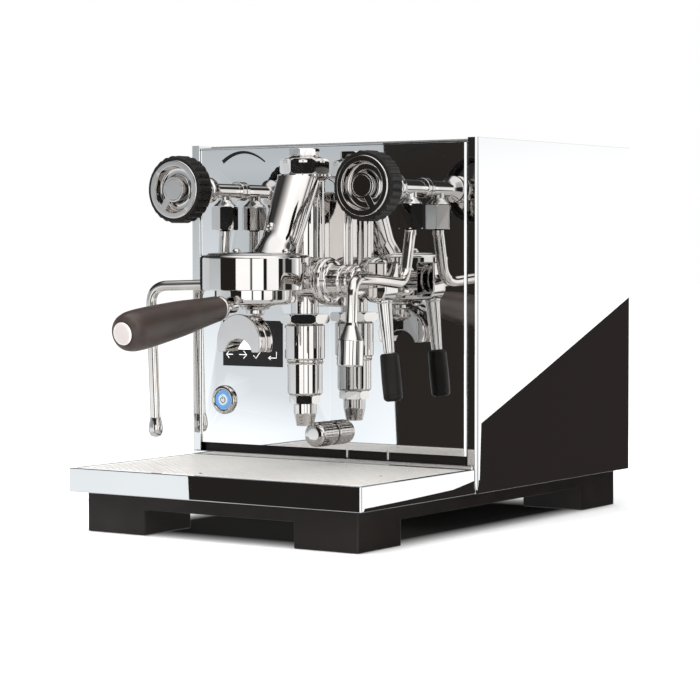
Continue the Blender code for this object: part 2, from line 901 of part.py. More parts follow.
def lever_gland():
    profile = [
        (0, 58),
        (12.2, 58),
        (13.6, 56.5),
        (13.6, 46),
        (12.4, 44.5),
        (12.4, 43.5),
        (13.8, 42.5),
        (13.8, 29),
        (18.6, 28),
        (20.3, 26.5),
        (20.3, 20.5),
        (18.6, 19),
        (0, 19),
    ]
    gland = turned("lever_gland", profile, (0, CHAMBER_Y, LEVER_HEIGHT), X_AXIS, "chrome", 24)
    bore = prism("gland_bore", 6.4, 10, 70, (0, CHAMBER_Y, LEVER_HEIGHT), X_AXIS, sides=16)
    return cut(gland, bore)


def brew_lever():
    """Hub with its cam shaft, tapered rod and grip, hanging down and leaning a little outward."""
    axis_point = (0, CHAMBER_Y, LEVER_HEIGHT)
    hub = box(
        "brew_lever_hub",
        (HUB_X[0], CHAMBER_Y - 9.7, 198),
        (HUB_X[1], CHAMBER_Y + 9.7, 229),
        "chrome",
        bevel=1.5,
    )
    shaft = prism("lever_shaft", 6, -8, HUB_X[0] + 5, axis_point, X_AXIS, sides=16)
    collar = prism("lever_collar", 8.5, 58.5, HUB_X[0] + 4, axis_point, X_AXIS, sides=16)
    join(hub, shaft, collar)
    down = Vector((math.sin(LEVER_TILT), 0, -math.cos(LEVER_TILT)))
    rod = prism("brew_lever_rod", 6.3, 0, ROD_LENGTH, ROD_TOP, down, "chrome", 24, end_radius=4.6)
    grip = turned(
        "brew_lever_grip",
        [
            (0, GRIP_LENGTH),
            (6.4, GRIP_LENGTH),
            (8.4, GRIP_LENGTH - 1.6),
            (8.6, GRIP_LENGTH - 6),
            (8.0, 1.2),
            (7.2, 0),
            (0, 0),
        ],
        Vector(ROD_TOP) + down * (ROD_LENGTH + GAP),
        down,
        "black_plastic",
        24,
    )
    pivot("brew_lever_hinge", (HUB_X[0], CHAMBER_Y, LEVER_HEIGHT), [hub, rod, grip])


# ---------------------------------------------------------------- portafilter


def portafilter():
    forward = Vector((0, -math.cos(HANDLE_SLOPE), -math.sin(HANDLE_SLOPE)))
    handle_start = Vector((0, HANDLE_START, HANDLE_AXIS_HEIGHT))
    body = turned(
        "portafilter_body",
        [
            (PORTAFILTER_RADIUS, PORTAFILTER_TOP),
            (PORTAFILTER_RADIUS, 199),
            (33, 196),
            (30, 194.5),
            (11, 193),
            (11, 190),
            (4, 190),
            (4, 197),
            (31, 198),
            (31, PORTAFILTER_TOP),
        ],
        (0, BELL_Y, 0),
        look="chrome",
        steps=30,
        ring=True,
    )
    neck_length = (abs(HANDLE_START) - 139.5) / math.cos(HANDLE_SLOPE)
    neck = prism(
        "portafilter_neck", 8.6, GAP, neck_length, handle_start, -forward, sides=24, end_radius=6.5
    )
    join(body, neck)
    handle = turned(
        "portafilter_handle",
        [
            (0, HANDLE_LENGTH),
            (9.6, HANDLE_LENGTH),
            (13.8, HANDLE_LENGTH - 1.4),
            (15.6, HANDLE_LENGTH - 5),
            (16.2, HANDLE_LENGTH - 16),
            (15.9, HANDLE_LENGTH - 40),
            (14.2, HANDLE_LENGTH - 75),
            (11.2, 14),
            (10.2, 4),
            (8.8, 0.6),
            (7.5, 0),
            (0, 0),
        ],
        handle_start,
        forward,
        "black_plastic",
        24,
    )
    end_cap = turned(
        "handle_end_cap",
        [(0, 2), (7, 1.9), (9, 1), (9, 0), (0, 0)],
        handle_start + forward * (HANDLE_LENGTH + GAP),
        forward,
        "chrome",
        20,
    )
    basket = turned(
        "filter_basket",
        [(33.6, 217), (33.6, 216.1), (30.3, 215.7), (30.3, 200.5), (27, 199.4), (0, 199.4)]
        + [(0, 200.2), (26.6, 200.2), (29.4, 201), (29.4, 217)],
        (0, BELL_Y, 0),
        look="brushed_steel",
        ring=True,
    )
    spout = double_spout()
    pivot("portafilter_hinge", (0, BELL_Y, 205), [body, handle, end_cap, basket, spout])


def spout_outline(outer_radius, inner_radius, tip_height):
    """An arch with thin tips: an outer arc, and a lower, smaller inner arc."""
    outer_drop = math.degrees(math.asin((SPOUT_ARC_HEIGHT - tip_height) / outer_radius))
    inner_centre = SPOUT_ARC_HEIGHT - 12
    inner_rise = math.degrees(math.asin((tip_height - inner_centre) / inner_radius))
    outer_arc = arc((0, SPOUT_ARC_HEIGHT), outer_radius, -outer_drop, 180 + outer_drop, 20)
    inner_arc = arc((0, inner_centre), inner_radius, 180 - inner_rise, inner_rise, 14)
    return outer_arc + inner_arc


def double_spout():
    tip_height = 155
    arch = plate(
        "double_spout",
        [spout_outline(SPOUT_RADIUS, 15, tip_height)],
        (0, SPOUT_Y, 0),
        -Y_AXIS,
        SPOUT_DEPTH,
        "chrome",
    )
    channel_radius = 18.5
    channel_outline = arc((0, SPOUT_ARC_HEIGHT), 30, -60, 240, 24)
    channel_outline += arc((0, SPOUT_ARC_HEIGHT), channel_radius, 240, -60, 20)
    channel = plate("spout_channel", [channel_outline], (0, SPOUT_Y, 0), -Y_AXIS, SPOUT_DEPTH - 5)
    hub = turned(
        "spout_hub",
        [(0, 189.7), (7.5, 189.7), (7.5, 186.5), (6.2, 185.5), (6.2, 180), (0, 176)],
        (0, BELL_Y, 0),
        steps=24,
    )
    bridge = box("spout_bridge", (-6, SPOUT_Y + 2, 176), (6, BELL_Y + 1, 185), bevel=2)
    cut(arch, channel)
    return join(arch, hub, bridge)


# ---------------------------------------------------------------- taps, knobs and wands


def tap(name, side):
    """A tap body: a pipe out of the panel, a flared bonnet behind the knob and a branch down."""
    x = side * TAP_X
    body = turned(
        f"{name}_valve_body",
        [
            (0, 74),
            (5.6, 74),
            (5.6, 64),
            (9.5, 62),
            (11.5, 58),
            (11.5, 52),
            (10, 50),
            (11, 48),
            (11.5, 42),
            (9, 38.5),
            (6.4, 36),
            (6.4, -14),
            (0, -14),
        ],
        (x, 0, TAP_HEIGHT),
        -Y_AXIS,
        "chrome",
        20,
    )
    branch = turned(
        f"{name}_branch",
        [(0, 0), (5.4, 0), (5.4, -9), (6.8, -10.5), (10.2, -13.6), (0, -13.6)],
        (x, BRANCH_Y, TAP_HEIGHT),
        steps=16,
    )
    join(body, branch)
    nut = prism(
        f"{name}_wand_nut", 11.7, 257.2, 278, (x, BRANCH_Y, 0), Z_AXIS, "chrome", bevel=0.7
    )
    ball_room = turned(
        f"{name}_ball_room",
        [(0, 273.5), (8.4, 273.5), (8.4, 262), (6.4, 255), (0, 255)],
        (x, BRANCH_Y, 0),
        steps=16,
    )
    cut(nut, ball_room)
    seat = turned(
        f"{name}_ball_seat",
        [(8.1, 273.2), (8.1, 267), (6.9, 267), (4.2, 270.2), (4.2, 273.2)],
        (x, BRANCH_Y, 0),
        look="rubber",
        steps=16,
        ring=True,
    )
    pivot(f"{name}_swivel", (x, BRANCH_Y, BALL_HEIGHT), [seat])


def knob(name, side, spoke_deg):
    """A fluted black grip round a chrome face with a C-shaped recess, on a spindle."""
    x = side * TAP_X
    depth = KNOB_DEPTH
    scallop_steps = 3
    outline = []
    for step in range(KNOB_SCALLOPS * scallop_steps):
        angle = math.tau * step / (KNOB_SCALLOPS * scallop_steps)
        radius = KNOB_RADIUS - 1.3 * (0.5 + 0.5 * math.cos(KNOB_SCALLOPS * angle)) ** 1.5
        outline.append((radius * math.cos(angle), radius * math.sin(angle)))
    hole = arc((0, 0), 25.7, 360, 0, 30)[:-1]
    grip = plate(
        f"{name}_knob_grip",
        [outline, hole],
        (x, KNOB_FRONT + depth / 2, TAP_HEIGHT),
        -Y_AXIS,
        depth,
        "black_plastic",
    )
    face = turned(
        f"{name}_knob_face",
        [(0, 1), (24.2, 1), (25.3, -0.4), (25.3, -12), (9, -15), (9, -17), (0, -17)],
        (x, KNOB_FRONT, TAP_HEIGHT),
        -Y_AXIS,
        "chrome",
        30,
    )
    recess_outline = arc((0, 0), 20, spoke_deg + 9, spoke_deg + 351, 22)
    recess_outline += arc((0, 0), 11.1, spoke_deg + 344, spoke_deg + 16, 14)
    recess = plate(
        f"{name}_recess", [recess_outline], (x, KNOB_FRONT, TAP_HEIGHT), -Y_AXIS, 12
    )
    back = (x, KNOB_FRONT + KNOB_DEPTH, TAP_HEIGHT)
    spindle_socket = prism(f"{name}_spindle_socket", 5.9, -3, 12.5, back, -Y_AXIS, sides=16)
    cut(face, recess, spindle_socket)
    pivot(f"{name}_knob_hinge", (x, KNOB_FRONT, TAP_HEIGHT), [grip, face])


def wand(name, corners, bend):
    """A bent pipe on a ball that sits in the tap's nut."""
    ball_place = Vector(corners[0])
    ball_place.z = BALL_HEIGHT
    ball = turned(
        f"{name}_wand",
        [(0, BALL_RADIUS)]
        + [
            (BALL_RADIUS * math.sin(math.radians(a)), BALL_RADIUS * math.cos(math.radians(a)))
            for a in range(30, 151, 30)
        ]
        + [(3.7, -7), (3.7, -14), (0, -14)],
        ball_place,
        look="chrome",
        steps=14,
    )
    tube = as_mesh(pipe(f"{name}_wand_pipe", corners, PIPE_RADIUS, None, bend))
    return join(ball, tube)


def steam_wand():
    foot = Vector(STEAM_WAND_FOOT)
    shoulder = Vector((-173, foot.y - 1, 207))
    down = (foot - shoulder).normalized()
    pipe_end = foot - down * 17
    piece = wand(
        "steam",
        [(-TAP_X, BRANCH_Y, 252), (-TAP_X - 2, BRANCH_Y - 1, 209), shoulder, pipe_end],
        17,
    )
    tip = turned(
        "steam_wand_tip",
        [(0, 0), (5.1, 0), (5.6, -3), (6.5, -10), (6.0, -14.5), (3.6, -17), (0, -17.4)],
        pipe_end + down * GAP,
        -down,
        "chrome",
        18,
    )
    pivot("steam_wand_tilt", (-TAP_X, BRANCH_Y, BALL_HEIGHT), [piece, tip])


def water_wand():
    foot = Vector(WATER_WAND_FOOT)
    shoulder = Vector((111, -127, 216))
    down = (foot - shoulder).normalized()
    pipe_end = foot - down * 34.6
    piece = wand(
        "water",
        [(TAP_X, BRANCH_Y, 252), (TAP_X, -30, 211), (TAP_X + 5, -80, 215), shoulder, pipe_end],
        15,
    )
    nozzle = turned(
        "water_wand_nozzle",
        [(0, 0), (5.2, 0), (5.6, -2.5), (10.6, -13.5), (10.6, -34), (9.8, -34.6)]
        + [(8.2, -34.6), (8.2, -24), (0, -24)],
        pipe_end + down * GAP,
        -down,
        "chrome",
        20,
    )
    pivot("water_wand_tilt", (TAP_X, BRANCH_Y, BALL_HEIGHT), [piece, nozzle])


# ---------------------------------------------------------------- controls


def controls():
    box(
        "display_glass",
        (DISPLAY_X[0], PANEL_FRONT - 0.8, DISPLAY_Z[0]),
        (DISPLAY_X[1], PANEL_BACK + 6, DISPLAY_Z[1]),
        "black_glass",
    )
    button_place = (BUTTON_X, PANEL_FRONT, BUTTON_Z)
    turned(
        "power_button_bezel",
        [(9.6, 3.6), (12.2, 3.2), (13, 2.2), (13, 0.3), (10.6, 0.3), (10.6, -14), (9.6, -14)],
        button_place,
        -Y_AXIS,
        "chrome",
        ring=True,
    )
    cap = turned(
        "power_button_cap",
        [(0, 3.1), (BUTTON_RADIUS - 0.6, 3.1), (BUTTON_RADIUS, 2.5), (BUTTON_RADIUS, -10), (0, -10)],
        button_place,
        -Y_AXIS,
        "brushed_steel",
    )
    pivot("power_button_slide", button_place, [cap])
    knurl_steps = 48
    outline = []
    for step in range(knurl_steps):
        angle = math.tau * step / knurl_steps
        radius = PRESSURE_KNOB_RADIUS - (0.5 if step % 2 else 0)
        outline.append((radius * math.cos(angle), radius * math.sin(angle)))
    length = PANEL_FRONT - 1.2 - PRESSURE_KNOB_FRONT
    pressure_knob = plate(
        "pressure_knob",
        [outline],
        (0, PRESSURE_KNOB_FRONT + length / 2, PRESSURE_KNOB_Z),
        -Y_AXIS,
        length,
        "chrome",
    )
    shaft_place = (0, PRESSURE_KNOB_FRONT + 4, PRESSURE_KNOB_Z)
    shaft = prism("pressure_shaft", 4, -3, length + 14, shaft_place, Y_AXIS, sides=20)
    join(pressure_knob, shaft)
    rail_hole = prism("rail_hole", 4.6, -30, 30, (0, PANEL_BACK, PRESSURE_KNOB_Z), Y_AXIS, sides=20)
    cut(bpy.data.objects["front_rail"], rail_hole)
    pivot("pressure_knob_hinge", (0, PRESSURE_KNOB_FRONT, PRESSURE_KNOB_Z), [pressure_knob])


casing()
drip_tray()
water_tank()
boiler()
boiler_pipes()
pump_and_controls()
group_body()
group_cap()
group_seals()
lower_valve()
lever_gland()
brew_lever()
portafilter()
for tap_name, tap_side, knob_spoke in (("steam", -1, 235), ("water", 1, 300)):
    tap(tap_name, tap_side)
    knob(tap_name, tap_side, knob_spoke)
steam_wand()
water_wand()
controls()
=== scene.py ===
"""Looks of the espresso machine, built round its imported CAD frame.

Lengths are in millimetres unless a name says otherwise. x runs from the machine's middle plane to
its right side, y runs back from the casing's front face and z runs up from the floor, as in the
CAD, and at() puts such a point into the frame.
"""

import json
import math

import bmesh
import bpy
from mathutils import Matrix, Vector

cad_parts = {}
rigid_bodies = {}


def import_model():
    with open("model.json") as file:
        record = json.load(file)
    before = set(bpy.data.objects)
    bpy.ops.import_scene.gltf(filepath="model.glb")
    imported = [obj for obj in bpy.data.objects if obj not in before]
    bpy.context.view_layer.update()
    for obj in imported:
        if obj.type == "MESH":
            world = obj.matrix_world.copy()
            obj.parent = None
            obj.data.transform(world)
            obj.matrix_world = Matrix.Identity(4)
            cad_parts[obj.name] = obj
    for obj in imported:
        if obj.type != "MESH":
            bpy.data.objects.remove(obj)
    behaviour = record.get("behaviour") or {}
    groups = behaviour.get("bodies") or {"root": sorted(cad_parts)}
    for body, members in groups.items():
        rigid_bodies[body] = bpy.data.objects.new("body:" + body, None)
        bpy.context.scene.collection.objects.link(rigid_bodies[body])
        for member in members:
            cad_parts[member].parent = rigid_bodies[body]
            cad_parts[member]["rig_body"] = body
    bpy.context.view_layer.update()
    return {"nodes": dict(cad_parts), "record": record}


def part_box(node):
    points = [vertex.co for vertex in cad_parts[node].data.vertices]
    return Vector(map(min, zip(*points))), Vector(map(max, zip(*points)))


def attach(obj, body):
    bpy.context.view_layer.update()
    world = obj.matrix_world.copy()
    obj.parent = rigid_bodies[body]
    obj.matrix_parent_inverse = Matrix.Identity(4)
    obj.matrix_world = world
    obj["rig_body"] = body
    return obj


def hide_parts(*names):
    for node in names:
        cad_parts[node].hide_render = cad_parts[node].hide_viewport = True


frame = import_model()

MM = 0.001
X = Vector((1, 0, 0))
Y = Vector((0, 1, 0))
Z = Vector((0, 0, 1))
BASE_LOW, BASE_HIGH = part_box("base_frame")
ORIGIN = Vector(((BASE_LOW.x + BASE_HIGH.x) / 2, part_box("left_side_panel")[0].y, 0))
STEPS = 96

# Sizes and places that several pieces share
BODY_HALF_WIDTH, BODY_DEPTH = 151.5, 276
BODY_BOTTOM, BODY_TOP = 34, 334
FLANGE = 9.5
BELL_Y = -107.5
CHAMBER_Y = -36
LEVER_Z = 213
TAP_X = 98
TAP_Z = 292
BRANCH_Y = -20
BALL_Z = 264
KNOB_FRONT = -93
BUTTON_X, BUTTON_Z = -115.6, 104.3
PRESSURE_KNOB_Z = 79
DISPLAY_FRONT = 1.2
PANEL_FRONT, PANEL_BACK = 2.0, 3.5
PANEL_BOTTOM, PANEL_TOP = 65, 329.8
TRAY_FRONT, TRAY_REAR, TRAY_TOP = -173, -0.7, 54.6
NECK_FOOT, NECK_HEAD = Vector((0, -77.5, 234)), Vector((0, -43.0, 303))
THERMOSYPHON_HEIGHTS = (205, 275)
CHAMBER = (0, CHAMBER_Y, 0)
LEVER_SHAFT = (0, CHAMBER_Y, LEVER_Z)


def at(x, y, z):
    return Vector((x, y, z)) * MM + ORIGIN


# Materials


def feed(tree, socket, value):
    """Gives an input a number or a colour, or links another node's output to it."""
    if isinstance(value, bpy.types.NodeSocket):
        tree.links.new(value, socket)
    else:
        socket.default_value = value


def node(tree, kind, inputs=None, **settings):
    made = tree.nodes.new(kind)
    for key, value in settings.items():
        setattr(made, key, value)
    for key, value in (inputs or {}).items():
        feed(tree, made.inputs[key], value)
    return made


def noise(tree, place, scale, detail, stretch=(1, 1, 1)):
    """A noise factor over the piece's own coordinates, in waves per metre."""
    mapping = node(tree, "ShaderNodeMapping", {"Vector": place, "Scale": stretch})
    inputs = {"Vector": mapping.outputs[0], "Scale": scale, "Detail": detail}
    return node(tree, "ShaderNodeTexNoise", inputs).outputs["Fac"]


def spread(tree, factor, low, high, start=0.3, end=0.7):
    """A factor that runs from low to high while another runs from start to end."""
    return node(tree, "ShaderNodeMapRange", {0: factor, 1: start, 2: end, 3: low, 4: high}).outputs[0]


def maths(tree, operation, *values):
    return node(tree, "ShaderNodeMath", dict(enumerate(values)), operation=operation).outputs[0]


def mixed(tree, factor, first, second):
    """A mix of two colours, each an output or three numbers."""
    first, second = [(*colour, 1) if isinstance(colour, tuple) else colour for colour in (first, second)]
    return node(tree, "ShaderNodeMix", {0: factor, 6: first, 7: second}, data_type="RGBA").outputs[2]


WORN_POINTINESS = (0.53, 0.62)
WORN_GAIN, WORN_LIFT = 1.3, 0.004


def surface(
    name, colour, dark, metallic, roughness, patch_scale, grain_scale, grain_depth,
    grain_stretch=(1, 1, 1), transmission=0.0, glow=0.0, specular=0.5,
):
    """A material whose colour and roughness vary in soft patches, with fine grain and rubbed edges.

    The scales are in waves per metre, and grain_depth is in millimetres.
    """
    made = bpy.data.materials.new(name)
    made.use_nodes = True
    tree = made.node_tree
    shader = tree.nodes["Principled BSDF"]
    place = node(tree, "ShaderNodeTexCoord").outputs["Object"]
    patches = noise(tree, place, patch_scale, 4)
    edges = node(tree, "ShaderNodeNewGeometry").outputs["Pointiness"]
    worn = spread(tree, edges, 0.0, 1.0, *WORN_POINTINESS)
    base = mixed(tree, spread(tree, patches, 0, 1), colour, dark)
    bare = tuple(min(1, c * WORN_GAIN + WORN_LIFT) for c in colour)
    grain = noise(tree, place, grain_scale, 2, grain_stretch)
    bump = node(tree, "ShaderNodeBump", {"Strength": 1.0, "Distance": grain_depth * MM, "Height": grain})
    for key, value in (
        ("Base Color", mixed(tree, worn, base, bare)),
        ("Roughness", spread(tree, patches, *roughness)),
        ("Metallic", metallic),
        ("Specular IOR Level", specular),
        ("Transmission Weight", transmission),
        ("Normal", bump.outputs[0]),
    ):
        feed(tree, shader.inputs[key], value)
    if glow:
        shader.inputs["Emission Color"].default_value = (*colour, 1)
        shader.inputs["Emission Strength"].default_value = glow
    return made


BRUSH = (0.02, 1, 1)
# Each look: two colours, metallic, range of roughness, scales of patches and grain, depth of grain
FINISHES = {
    "mirror_steel": ((0.62, 0.62, 0.615), (0.60, 0.60, 0.597), 1, (0.008, 0.03), 9, 30, 0.0006, {}),
    "chrome": ((0.58, 0.56, 0.545), (0.545, 0.52, 0.50), 1, (0.015, 0.045), 40, 120, 0.002, {}),
    "steel_pipe": ((0.62, 0.59, 0.56), (0.53, 0.50, 0.47), 1, (0.05, 0.11), 60, 700, 0.004,
        {"grain_stretch": (1, 1, 0.05)}),
    "brushed_steel": ((0.66, 0.645, 0.62), (0.625, 0.61, 0.585), 1, (0.27, 0.31), 16, 2500, 0.006,
        {"grain_stretch": BRUSH}),
    "black_plastic": ((0.017, 0.0132, 0.0118), (0.012, 0.0095, 0.0085), 0, (0.4, 0.52), 30, 1400, 0.02,
        {"specular": 0.2}),
    "knob_plastic": ((0.010, 0.0085, 0.0078), (0.007, 0.006, 0.0055), 0, (0.36, 0.48), 45, 1800, 0.03,
        {"specular": 0.16}),
    "handle": ((0.044, 0.030, 0.025), (0.026, 0.018, 0.0155), 0, (0.34, 0.46), 35, 1600, 0.03,
        {"grain_stretch": (1, 0.15, 1), "specular": 0.42}),
    "black_glass": ((0.006, 0.005, 0.005), (0.004, 0.0035, 0.0035), 0, (0.04, 0.10), 20, 40, 0.0005,
        {"specular": 0.18}),
    "printed": ((0.007, 0.006, 0.006), (0.010, 0.009, 0.009), 0, (0.4, 0.55), 80, 900, 0.004, {"specular": 0.1}),
    "satin_metal": ((0.90, 0.83, 0.81), (0.85, 0.78, 0.76), 0.45, (0.34, 0.42), 60, 1500, 0.004, {}),
    "grate_steel": ((0.95, 0.92, 0.88), (0.88, 0.85, 0.81), 0.4, (0.34, 0.42), 18, 2500, 0.006,
        {"grain_stretch": BRUSH}),
    "rubber": ((0.030, 0.030, 0.030), (0.020, 0.020, 0.020), 0, (0.7, 0.85), 60, 1200, 0.03, {}),
    "copper": ((0.86, 0.50, 0.34), (0.62, 0.33, 0.22), 1, (0.22, 0.45), 22, 300, 0.02, {}),
    "brass": ((0.80, 0.62, 0.30), (0.62, 0.45, 0.20), 1, (0.22, 0.42), 35, 600, 0.01, {}),
    "painted_steel": ((0.30, 0.31, 0.32), (0.25, 0.26, 0.27), 0, (0.40, 0.55), 30, 1200, 0.02, {}),
    "clear_plastic": ((0.82, 0.86, 0.89), (0.76, 0.81, 0.85), 0, (0.05, 0.14), 12, 60, 0.003, {"transmission": 0.9}),
    "lit_window": ((0.90, 0.93, 0.95), (0.84, 0.88, 0.91), 0, (0.15, 0.25), 60, 500, 0.001, {"glow": 0.9}),
    "lit_mark": ((0.80, 0.81, 0.81), (0.70, 0.71, 0.72), 0, (0.3, 0.4), 200, 900, 0.001, {"glow": 0.55}),
    "blue_light": ((0.06, 0.20, 0.43), (0.045, 0.16, 0.36), 0, (0.10, 0.2), 90, 500, 0.001, {"glow": 0.7}),
    "pale_light": ((0.62, 0.66, 0.68), (0.50, 0.54, 0.57), 0.4, (0.2, 0.3), 120, 700, 0.001, {"glow": 0.15}),
}
LOOKS = {name: surface(name, *values, **others) for name, (*values, others) in FINISHES.items()}

# Shapes


def added(name, data):
    obj = bpy.data.objects.new(name, data)
    bpy.context.scene.collection.objects.link(obj)
    return obj


def link(name, mesh, place=(0, 0, 0), axis=Z):
    """Puts a mesh in the scene with its origin at place and its z along axis."""
    obj = added(name, mesh)
    obj.location = at(*place)
    obj.rotation_mode = "QUATERNION"
    obj.rotation_quaternion = Z.rotation_difference(Vector(axis))
    return obj


def mesh_from(name, shape, recalculate=True):
    if recalculate:
        bmesh.ops.recalc_face_normals(shape, faces=shape.faces)
    mesh = bpy.data.meshes.new(name)
    shape.to_mesh(mesh)
    shape.free()
    return mesh


def bevelled(obj, width, segments, sharp):
    made = obj.modifiers.new("bevel", "BEVEL")
    made.width = width * MM
    made.segments = segments
    made.limit_method = "ANGLE"
    made.angle_limit = math.radians(sharp)


def finished(obj, bevel=0.0, segments=3, sharp=32):
    """Adds an even edge bevel and shading that keeps flat faces flat."""
    if bevel:
        bevelled(obj, bevel, segments, sharp)
    obj.data.shade_smooth()
    obj.data.set_sharp_from_angle(angle=math.radians(sharp))
    normals = obj.modifiers.new("normals", "WEIGHTED_NORMAL")
    normals.keep_sharp = True
    normals.weight = 80
    return obj


def placed(obj, body, look, *stands_for):
    """Gives a piece its material and its body, and hides the CAD nodes it stands for."""
    obj.data.materials.clear()
    obj.data.materials.append(LOOKS[look])
    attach(obj, body)
    if stands_for:
        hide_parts(*stands_for)
    return obj


def curve_point(start, control, end, t):
    return start * (1 - t) ** 2 + control * 2 * t * (1 - t) + end * t**2


def bend(before, corner, after, reach, steps):
    """Points round a corner, from reach before it to reach after it."""
    start = corner + (before - corner).normalized() * reach
    end = corner + (after - corner).normalized() * reach
    return [curve_point(start, corner, end, step / steps) for step in range(steps + 1)]


def rounded(points, radius, steps=4):
    """An open outline with its inner corners rounded. A third number in a point is its own radius."""
    flat = [Vector(point[:2]) for point in points]
    made = [flat[0]]
    for before, corner, after, given in zip(flat, flat[1:], flat[2:], points[1:]):
        wanted = given[2] if len(given) > 2 else radius
        reach = min(wanted, (before - corner).length * 0.45, (after - corner).length * 0.45)
        made += [corner] if reach < 0.01 else bend(before, corner, after, reach, steps)
    return made + [flat[-1]]


def strip(shape, first, second):
    """Faces between two closed loops of equal count, where a loop may be one point repeated."""
    for index in range(len(first)):
        after = (index + 1) % len(first)
        corners = dict.fromkeys((first[index], first[after], second[after], second[index]))
        if len(corners) > 2:
            shape.faces.new(list(corners))


def turned(name, profile, place, axis=Z, fillet=0.5, steps=STEPS, ring=False):
    """A closed mesh turned from (radius, height) points, with rounded corners."""
    points = rounded([*profile, profile[0]], fillet)[:-1] if ring else rounded(profile, fillet)
    shape = bmesh.new()
    rings = []
    for radius, height in points:
        if radius < 1e-6:
            rings.append([shape.verts.new((0, 0, height * MM))] * steps)
            continue
        rings.append([shape.verts.new((x * MM, y * MM, height * MM)) for x, y in regular(steps, radius)])
    if ring:
        rings.append(rings[0])
    for first, second in zip(rings, rings[1:]):
        strip(shape, first, second)
    return link(name, mesh_from(name, shape), place, axis)


def prism(name, outline, low, high, place=(0, 0, 0), axis=Z, turn=0.0):
    """A closed mesh from a flat outline, from low to high along axis."""
    shape = bmesh.new()
    spin = Matrix.Rotation(turn, 2)
    flat = [spin @ Vector(point) for point in outline]
    bottom = [shape.verts.new((p.x * MM, p.y * MM, low * MM)) for p in flat]
    top = [shape.verts.new((p.x * MM, p.y * MM, high * MM)) for p in flat]
    shape.faces.new(bottom[::-1])
    shape.faces.new(top)
    strip(shape, bottom, top)
    return link(name, mesh_from(name, shape), place, axis)


def wavy(steps, radius_at):
    """A closed outline round the origin, from its radius at each angle."""
    angles = [math.tau * step / steps for step in range(steps)]
    return [(radius_at(a) * math.cos(a), radius_at(a) * math.sin(a)) for a in angles]


def regular(sides, radius):
    return wavy(sides, lambda angle: radius)


def box(name, low, high):
    (x0, y0, z0), (x1, y1, z1) = low, high
    return prism(name, [(x0, y0), (x1, y0), (x1, y1), (x0, y1)], z0, z1)


def upright(name, outline, front, back, centre=(0, 0)):
    """A plate in the x-z plane: outline is (x, z) about centre, and it runs from front to back in y."""
    obj = prism(name, outline, -back, -front, (centre[0], 0, centre[1]))
    obj.rotation_quaternion = Matrix.Rotation(math.pi / 2, 3, "X").to_quaternion()
    return obj


def applied(obj):
    """Applies the object's modifiers to its mesh."""
    bpy.context.view_layer.update()
    graph = bpy.context.evaluated_depsgraph_get()
    mesh = bpy.data.meshes.new_from_object(obj.evaluated_get(graph))
    obj.modifiers.clear()
    obj.data = mesh
    return obj


def eased(obj, bevel, segments, sharp=32):
    """Rounds the edges of a shape that is then joined to another."""
    bevelled(obj, bevel, segments, sharp)
    return applied(obj)


def combined(target, others, operation):
    """Joins, cuts or intersects closed meshes, and removes the helpers."""
    for other in others:
        made = target.modifiers.new("combine", "BOOLEAN")
        made.operation = operation
        made.solver = "EXACT"
        made.object = other
    applied(target)
    for other in others:
        bpy.data.objects.remove(other)
    return target


def joined(target, *others):
    return combined(target, others, "UNION")


def cut(target, *others):
    return combined(target, others, "DIFFERENCE")


def arc(centre, radius, start_deg, end_deg, steps):
    angles = [math.radians(start_deg + (end_deg - start_deg) * step / steps) for step in range(steps + 1)]
    return [(centre[0] + radius * math.cos(a), centre[1] + radius * math.sin(a)) for a in angles]


def nut(name, radius, low, high, place, axis=Z, chamfer=1.2, turn=0.0):
    """A hexagon whose corners are turned off at both ends, as on a real nut."""
    body = prism(name, regular(6, radius), low, high, place, axis, turn)
    inner, outer = radius * 0.93, radius + 0.2
    profile = [(0, high), (inner, high), (outer, high - chamfer), (outer, low + chamfer), (inner, low), (0, low)]
    return combined(body, [turned("cone", profile, place, axis, fillet=0)], "INTERSECT")


def route(corners, radius, steps=14):
    """Points along a pipe's centre line, each corner replaced by a smooth bend."""
    corners = [Vector(corner) for corner in corners]
    points = [corners[0]]
    for before, corner, after in zip(corners, corners[1:], corners[2:]):
        reach = min(radius, (before - corner).length * 0.48, (after - corner).length * 0.48)
        points += bend(before, corner, after, reach, steps)
    return points + [corners[-1]]


def swept(name, points, radius, sides=40):
    """A closed pipe of one radius along points."""
    shape = bmesh.new()
    rings = []
    side_way = None
    for index, point in enumerate(points):
        before = points[max(index - 1, 0)]
        after = points[min(index + 1, len(points) - 1)]
        along = (after - before).normalized()
        if side_way is None:
            side_way = along.orthogonal().normalized()
        side_way = (side_way - along * side_way.dot(along)).normalized()
        other_way = along.cross(side_way)
        angles = [math.tau * side / sides for side in range(sides)]
        outward = [side_way * math.cos(a) + other_way * math.sin(a) for a in angles]
        rings.append([shape.verts.new((point + out * radius) * MM) for out in outward])
    for first, second in zip(rings, rings[1:]):
        strip(shape, first, second)
    shape.faces.new(rings[0][::-1])
    shape.faces.new(rings[-1])
    return link(name, mesh_from(name, shape))


def refined(name, cad_node, look, bevel, segments=3):
    """A copy of a CAD node's shape with its edges softly rounded."""
    shape = bmesh.new()
    shape.from_mesh(frame["nodes"][cad_node].data)
    bmesh.ops.remove_doubles(shape, verts=shape.verts, dist=1e-6)
    obj = finished(added(name, mesh_from(name, shape)), bevel, segments)
    return placed(obj, frame["nodes"][cad_node]["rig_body"], look, cad_node)


# Casing


